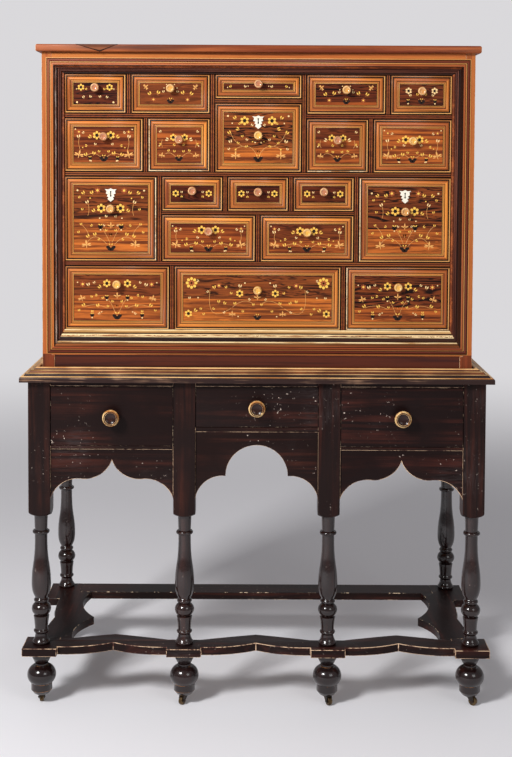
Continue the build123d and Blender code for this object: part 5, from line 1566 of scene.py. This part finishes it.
def build_drawer(node, slot, finishes, front_arris, box_arris, knob_finishes, rim, **knob):
    """Front, box and knob of a drawer; the knob's rim is what lies beyond a share of its radius."""
    dress(node + ".front", node, slot, finishes, picks=(FRONT,), arris=front_arris)
    picks = (LEFT, RIGHT, BOTTOM, BACK)
    dress(node + ".box", node, "secondary_timber", LININGS, picks=picks, arris=box_arris, segments=1)
    knob.update(picks=(KNOB,), arris=sizes().turned_edge, paint=outer_ring(node, rim))
    dress(node + ".knob", node, "knob_fruitwood", knob_finishes, **knob)


def build_case_drawers():
    """Boards, knobs, keyhole plates and locks of the case drawers."""
    # Beyond 0.8 of its radius a case knob's front takes a pale rim, a painted highlight broken by wear.
    knob_finishes = ("knob_wood", "knob_shade", "knob_shade")
    for node in CASE_DRAWERS:
        knob = {"tone": look_of(node).knob_tone, "grain": lambda low, high: Vector((0, 1, 0))}
        finishes = ("walnut", "worn_brown")
        build_drawer(node, "drawer_veneer", finishes, FINE_EDGE, FINE_EDGE, knob_finishes, 0.80, **knob)
        if len(solids(node)) > ESCUTCHEON:
            dress(node + ".escutcheon", node, "bone", ("bone", "bone"), picks=(ESCUTCHEON,), arris=FINE_EDGE)
            dress(node + ".lock", node, "lock_iron", ("iron", "iron"), picks=(LOCK,), arris=FINE_EDGE)


def build_stand_drawers():
    """Drawers of the stand with their large dished knobs."""
    finishes = ("ebonised_board", "worn_black")
    knob_finishes = ("knob_dark", "knob_rim", "knob_rim")
    for node in STAND_DRAWERS:
        build_drawer(node, "ebonised_wood", finishes, sizes().stand_edge, HIDDEN_EDGE, knob_finishes, 0.62)


# ================================================================ stand
# Height of the legs' square posts above their turning.
POST = 315 * MM


def build_legs():
    """Turned legs and feet."""
    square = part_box("front_legs")[1].z - POST
    upright = {"arris": sizes().turned_edge, "grain": lambda low, high: Vector((0, 0, 1))}

    def turned_part(number, centre, normal):
        return 0 if centre.z < square else 2

    finishes = ("ebonised_turned", "worn_turned", "ebonised")
    for node in ("front_legs", "rear_legs"):
        dress(node + ".turned", node, "ebonised_wood", finishes, paint=turned_part, **upright)
    dress("bun_feet.turned", "bun_feet", "ebonised_wood", finishes[:2], **upright)


def build_stand_frame():
    """Aprons, rails and runners of the stand, and the stretchers between its feet and legs."""
    edge = sizes()
    for node, label, finishes, arris in (
        ("front_aprons", "boards", ("ebonised_board", "worn_arch"), edge.apron_edge),
        ("drawer_rails", "boards", ("ebonised", "worn_arch"), edge.stand_edge),
        ("side_and_back_rails", "boards", ("ebonised_board", "worn_black"), edge.apron_edge),
        ("front_stretcher", "board", ("ebonised", "worn_arch"), STRETCHER_EDGE),
        ("side_stretchers", "board", ("ebonised", "worn_black"), STRETCHER_EDGE),
        ("back_stretcher", "board", ("ebonised", "worn_black"), STRETCHER_EDGE),
        ("stand_top", "board", ("ebonised_board", "worn_black"), edge.case_edge),
    ):
        dress(f"{node}.{label}", node, "ebonised_wood", finishes, arris=arris)
    node = "drawer_runners"
    dress(node + ".boards", node, "secondary_timber", LININGS, arris=HIDDEN_EDGE, segments=1)


def build_stand_moulding():
    """Reeded edge moulding round the stand's top."""
    low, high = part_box("stand_top_moulding")
    board_low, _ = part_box("stand_top")
    reeds = 4
    reed_width = (board_low.y - low.y) / reeds

    # For each reed from the outside in: how far its steep front reaches, and the finishes of front and crest.
    # Painted light: the two outer reeds' steep fronts and the edge below them take painted shadow, and the crests
    # are lighter by painted highlight and wear.
    bright, olive, rust, shadow = range(2, 6)
    members = ((0.20, shadow, bright), (0.30, shadow, olive), (0.30, rust, olive), (0.15, rust, bright))

    def member(number, centre, normal):
        edge = (centre.y - low.y) if number == 0 else min(centre.x - low.x, high.x - centre.x)
        place = min(edge / reed_width, reeds - 0.01)
        steep, front, crest = members[int(place)]
        if normal.z < 0.05 and place < 0.2:
            return shadow
        return front if place % 1.0 < steep else crest

    finishes = ("reed_shadow", "reed_shadow", "reed_bright", "reed_olive", "reed_rust", "reed_shadow")
    node = "stand_top_moulding"
    dress(node + ".reeds", node, "ebonised_wood", finishes, arris=FINE_EDGE, segments=1, paint=member)


def build_metalwork():
    """Casters and lock bolts."""
    for start, label, slot, finishes, arris, segments in (
        ("caster_plates", "iron", "caster_iron", ("iron", "iron"), METAL_EDGE, 2),
        ("caster_fork", "iron", "caster_iron", ("iron", "steel"), METAL_EDGE, 1),
        ("caster_wheel", "brass", "caster_brass", ("brass", "brass"), METAL_EDGE, 1),
        ("lock_bolt", "steel", "lock_iron", ("steel", "steel"), FINE_EDGE, 2),
    ):
        for node in frame["nodes"]:
            if node.startswith(start):
                dress(f"{node}.{label}", node, slot, finishes, arris=arris, segments=segments)


# ================================================================ studio
FLOOR_NEAR = 1.6
FLOOR_FAR = 5.0
FLOOR_RADIUS = 40.0
LENS = 62.94
SENSOR = 36.0
PITCH = math.radians(3.0)
ROLL = math.radians(-0.27)
SHIFT_X = -0.0028
SHIFT_Y = -0.20
# Lamps: name, place, share of the main lamp's power, size. They all point at one place.
LAMP_AIM = Vector((0.0, 0.0, 0.85))
LAMPS = (
    ("lamp_left", (-2.0, -2.6, 2.8), 1.0, 0.8),
    ("lamp_right", (2.3, -3.6, 2.5), 0.2, 1.6),
)


def build_studio():
    """Floor, camera, two soft lamps and an even surround."""
    studio = bpy.context.scene.vargueno_studio
    shape = bmesh.new()
    bmesh.ops.create_circle(shape, cap_ends=True, segments=64, radius=FLOOR_RADIUS)
    mesh = bpy.data.meshes.new("floor")
    shape.to_mesh(mesh)
    shape.free()
    mesh.materials.append(finish("floor_finish"))
    placed("floor", mesh)

    data = bpy.data.cameras.new("camera")
    data.sensor_width = SENSOR
    data.lens = LENS
    data.shift_x = SHIFT_X
    data.shift_y = SHIFT_Y
    camera = placed("camera", data)
    camera.location = (0.0, -studio.camera_distance, studio.camera_height)
    camera.rotation_euler = (math.pi / 2 - PITCH, ROLL, 0.0)
    bpy.context.scene.camera = camera

    for name, place, share, size in LAMPS:
        light = bpy.data.lights.new(name, "AREA")
        light.energy = share * studio.lamp
        light.size = size
        lamp = placed(name, light)
        lamp.location = place
        aim = LAMP_AIM - Vector(place)
        lamp.rotation_euler = aim.to_track_quat("-Z", "Y").to_euler()

    world = bpy.data.worlds.new("studio")
    world.use_nodes = True
    bpy.context.scene.world = world
    plan = Plan(world.node_tree)
    seen = plan.node("ShaderNodeLightPath", output="Is Camera Ray")
    level = plan.node("ShaderNodeMix", {"data_type": "FLOAT"}, {0: seen, 2: studio.fill, 3: 1.0})
    background = plan.tree.nodes["Background"]
    plan.feed(background.inputs["Color"], studio.backdrop)
    plan.feed(background.inputs["Strength"], level)


# ================================================================ operators
class Step:
    """One step of the dressing, run from the panel or in order by main."""

    bl_options = {"REGISTER", "UNDO"}

    def execute(self, context):
        for build in self.builders:
            build()
        return {"FINISHED"}


class VARGUENO_OT_case(Step, bpy.types.Operator):
    """Dress the case's boards, frame moulding and face bands"""

    bl_idname = "vargueno.case"
    bl_label = "Case"
    builders = (build_case, build_frame_moulding, build_face_banding)


class VARGUENO_OT_nest(Step, bpy.types.Operator):
    """Dress the shelves and uprights and inlay their edges"""

    bl_idname = "vargueno.nest"
    bl_label = "Nest"
    builders = (build_nest, build_nest_lines)


class VARGUENO_OT_drawers(Step, bpy.types.Operator):
    """Dress the case drawers with their knobs, plates and locks"""

    bl_idname = "vargueno.drawers"
    bl_label = "Case drawers"
    builders = (build_case_drawers,)


class VARGUENO_OT_veneers(Step, bpy.types.Operator):
    """Lay the fields and bands on the drawer fronts"""

    bl_idname = "vargueno.veneers"
    bl_label = "Veneers"
    builders = (build_veneers,)


class VARGUENO_OT_marquetry(Step, bpy.types.Operator):
    """Inlay flowers, leaves and stems in the drawer fields"""

    bl_idname = "vargueno.marquetry"
    bl_label = "Marquetry"
    builders = (build_marquetry,)


class VARGUENO_OT_stand(Step, bpy.types.Operator):
    """Dress the stand's legs, feet, frame, stretchers and top"""

    bl_idname = "vargueno.stand"
    bl_label = "Stand"
    builders = (build_legs, build_stand_frame, build_stand_moulding)


class VARGUENO_OT_stand_drawers(Step, bpy.types.Operator):
    """Dress the stand's drawers and knobs"""

    bl_idname = "vargueno.stand_drawers"
    bl_label = "Stand drawers"
    builders = (build_stand_drawers,)


class VARGUENO_OT_metalwork(Step, bpy.types.Operator):
    """Dress the casters and lock bolts"""

    bl_idname = "vargueno.metalwork"
    bl_label = "Metalwork"
    builders = (build_metalwork,)


class VARGUENO_OT_studio(Step, bpy.types.Operator):
    """Set out the floor, the camera and the lamps"""

    bl_idname = "vargueno.studio"
    bl_label = "Studio"
    builders = (build_studio,)


STEPS = (
    VARGUENO_OT_case,
    VARGUENO_OT_nest,
    VARGUENO_OT_drawers,
    VARGUENO_OT_veneers,
    VARGUENO_OT_marquetry,
    VARGUENO_OT_stand,
    VARGUENO_OT_stand_drawers,
    VARGUENO_OT_metalwork,
    VARGUENO_OT_studio,
)


class VARGUENO_PT_panel(bpy.types.Panel):
    """Lists the steps, colours and sizes"""

    bl_label = "Vargueno"
    bl_idname = "VARGUENO_PT_panel"
    bl_space_type = "VIEW_3D"
    bl_region_type = "UI"
    bl_category = "Vargueno"

    def draw(self, context):
        for step in STEPS:
            self.layout.operator(step.bl_idname)
        for group in (context.scene.vargueno_woods, context.scene.vargueno_sizes, context.scene.vargueno_studio):
            for name in group.__annotations__:
                self.layout.prop(group, name)


GROUPS = {
    "vargueno_woods": VarguenoWoods,
    "vargueno_sizes": VarguenoSizes,
    "vargueno_studio": VarguenoStudio,
}
CLASSES = (*GROUPS.values(), *STEPS, VARGUENO_PT_panel)


def register():
    """Adds the classes and the scene's settings."""
    for item in CLASSES:
        bpy.utils.register_class(item)
    for name, group in GROUPS.items():
        setattr(bpy.types.Scene, name, PointerProperty(type=group))


def unregister():
    """Takes the settings and classes away again."""
    for name in GROUPS:
        delattr(bpy.types.Scene, name)
    for item in reversed(CLASSES):
        bpy.utils.unregister_class(item)


def main():
    """Builds everything in order and sets the Standard view transform."""
    register()
    for step in STEPS:
        group, name = step.bl_idname.split(".")
        getattr(getattr(bpy.ops, group), name)()
    bpy.context.scene.view_settings.view_transform = "Standard"


if __name__ == "__main__":
    main()
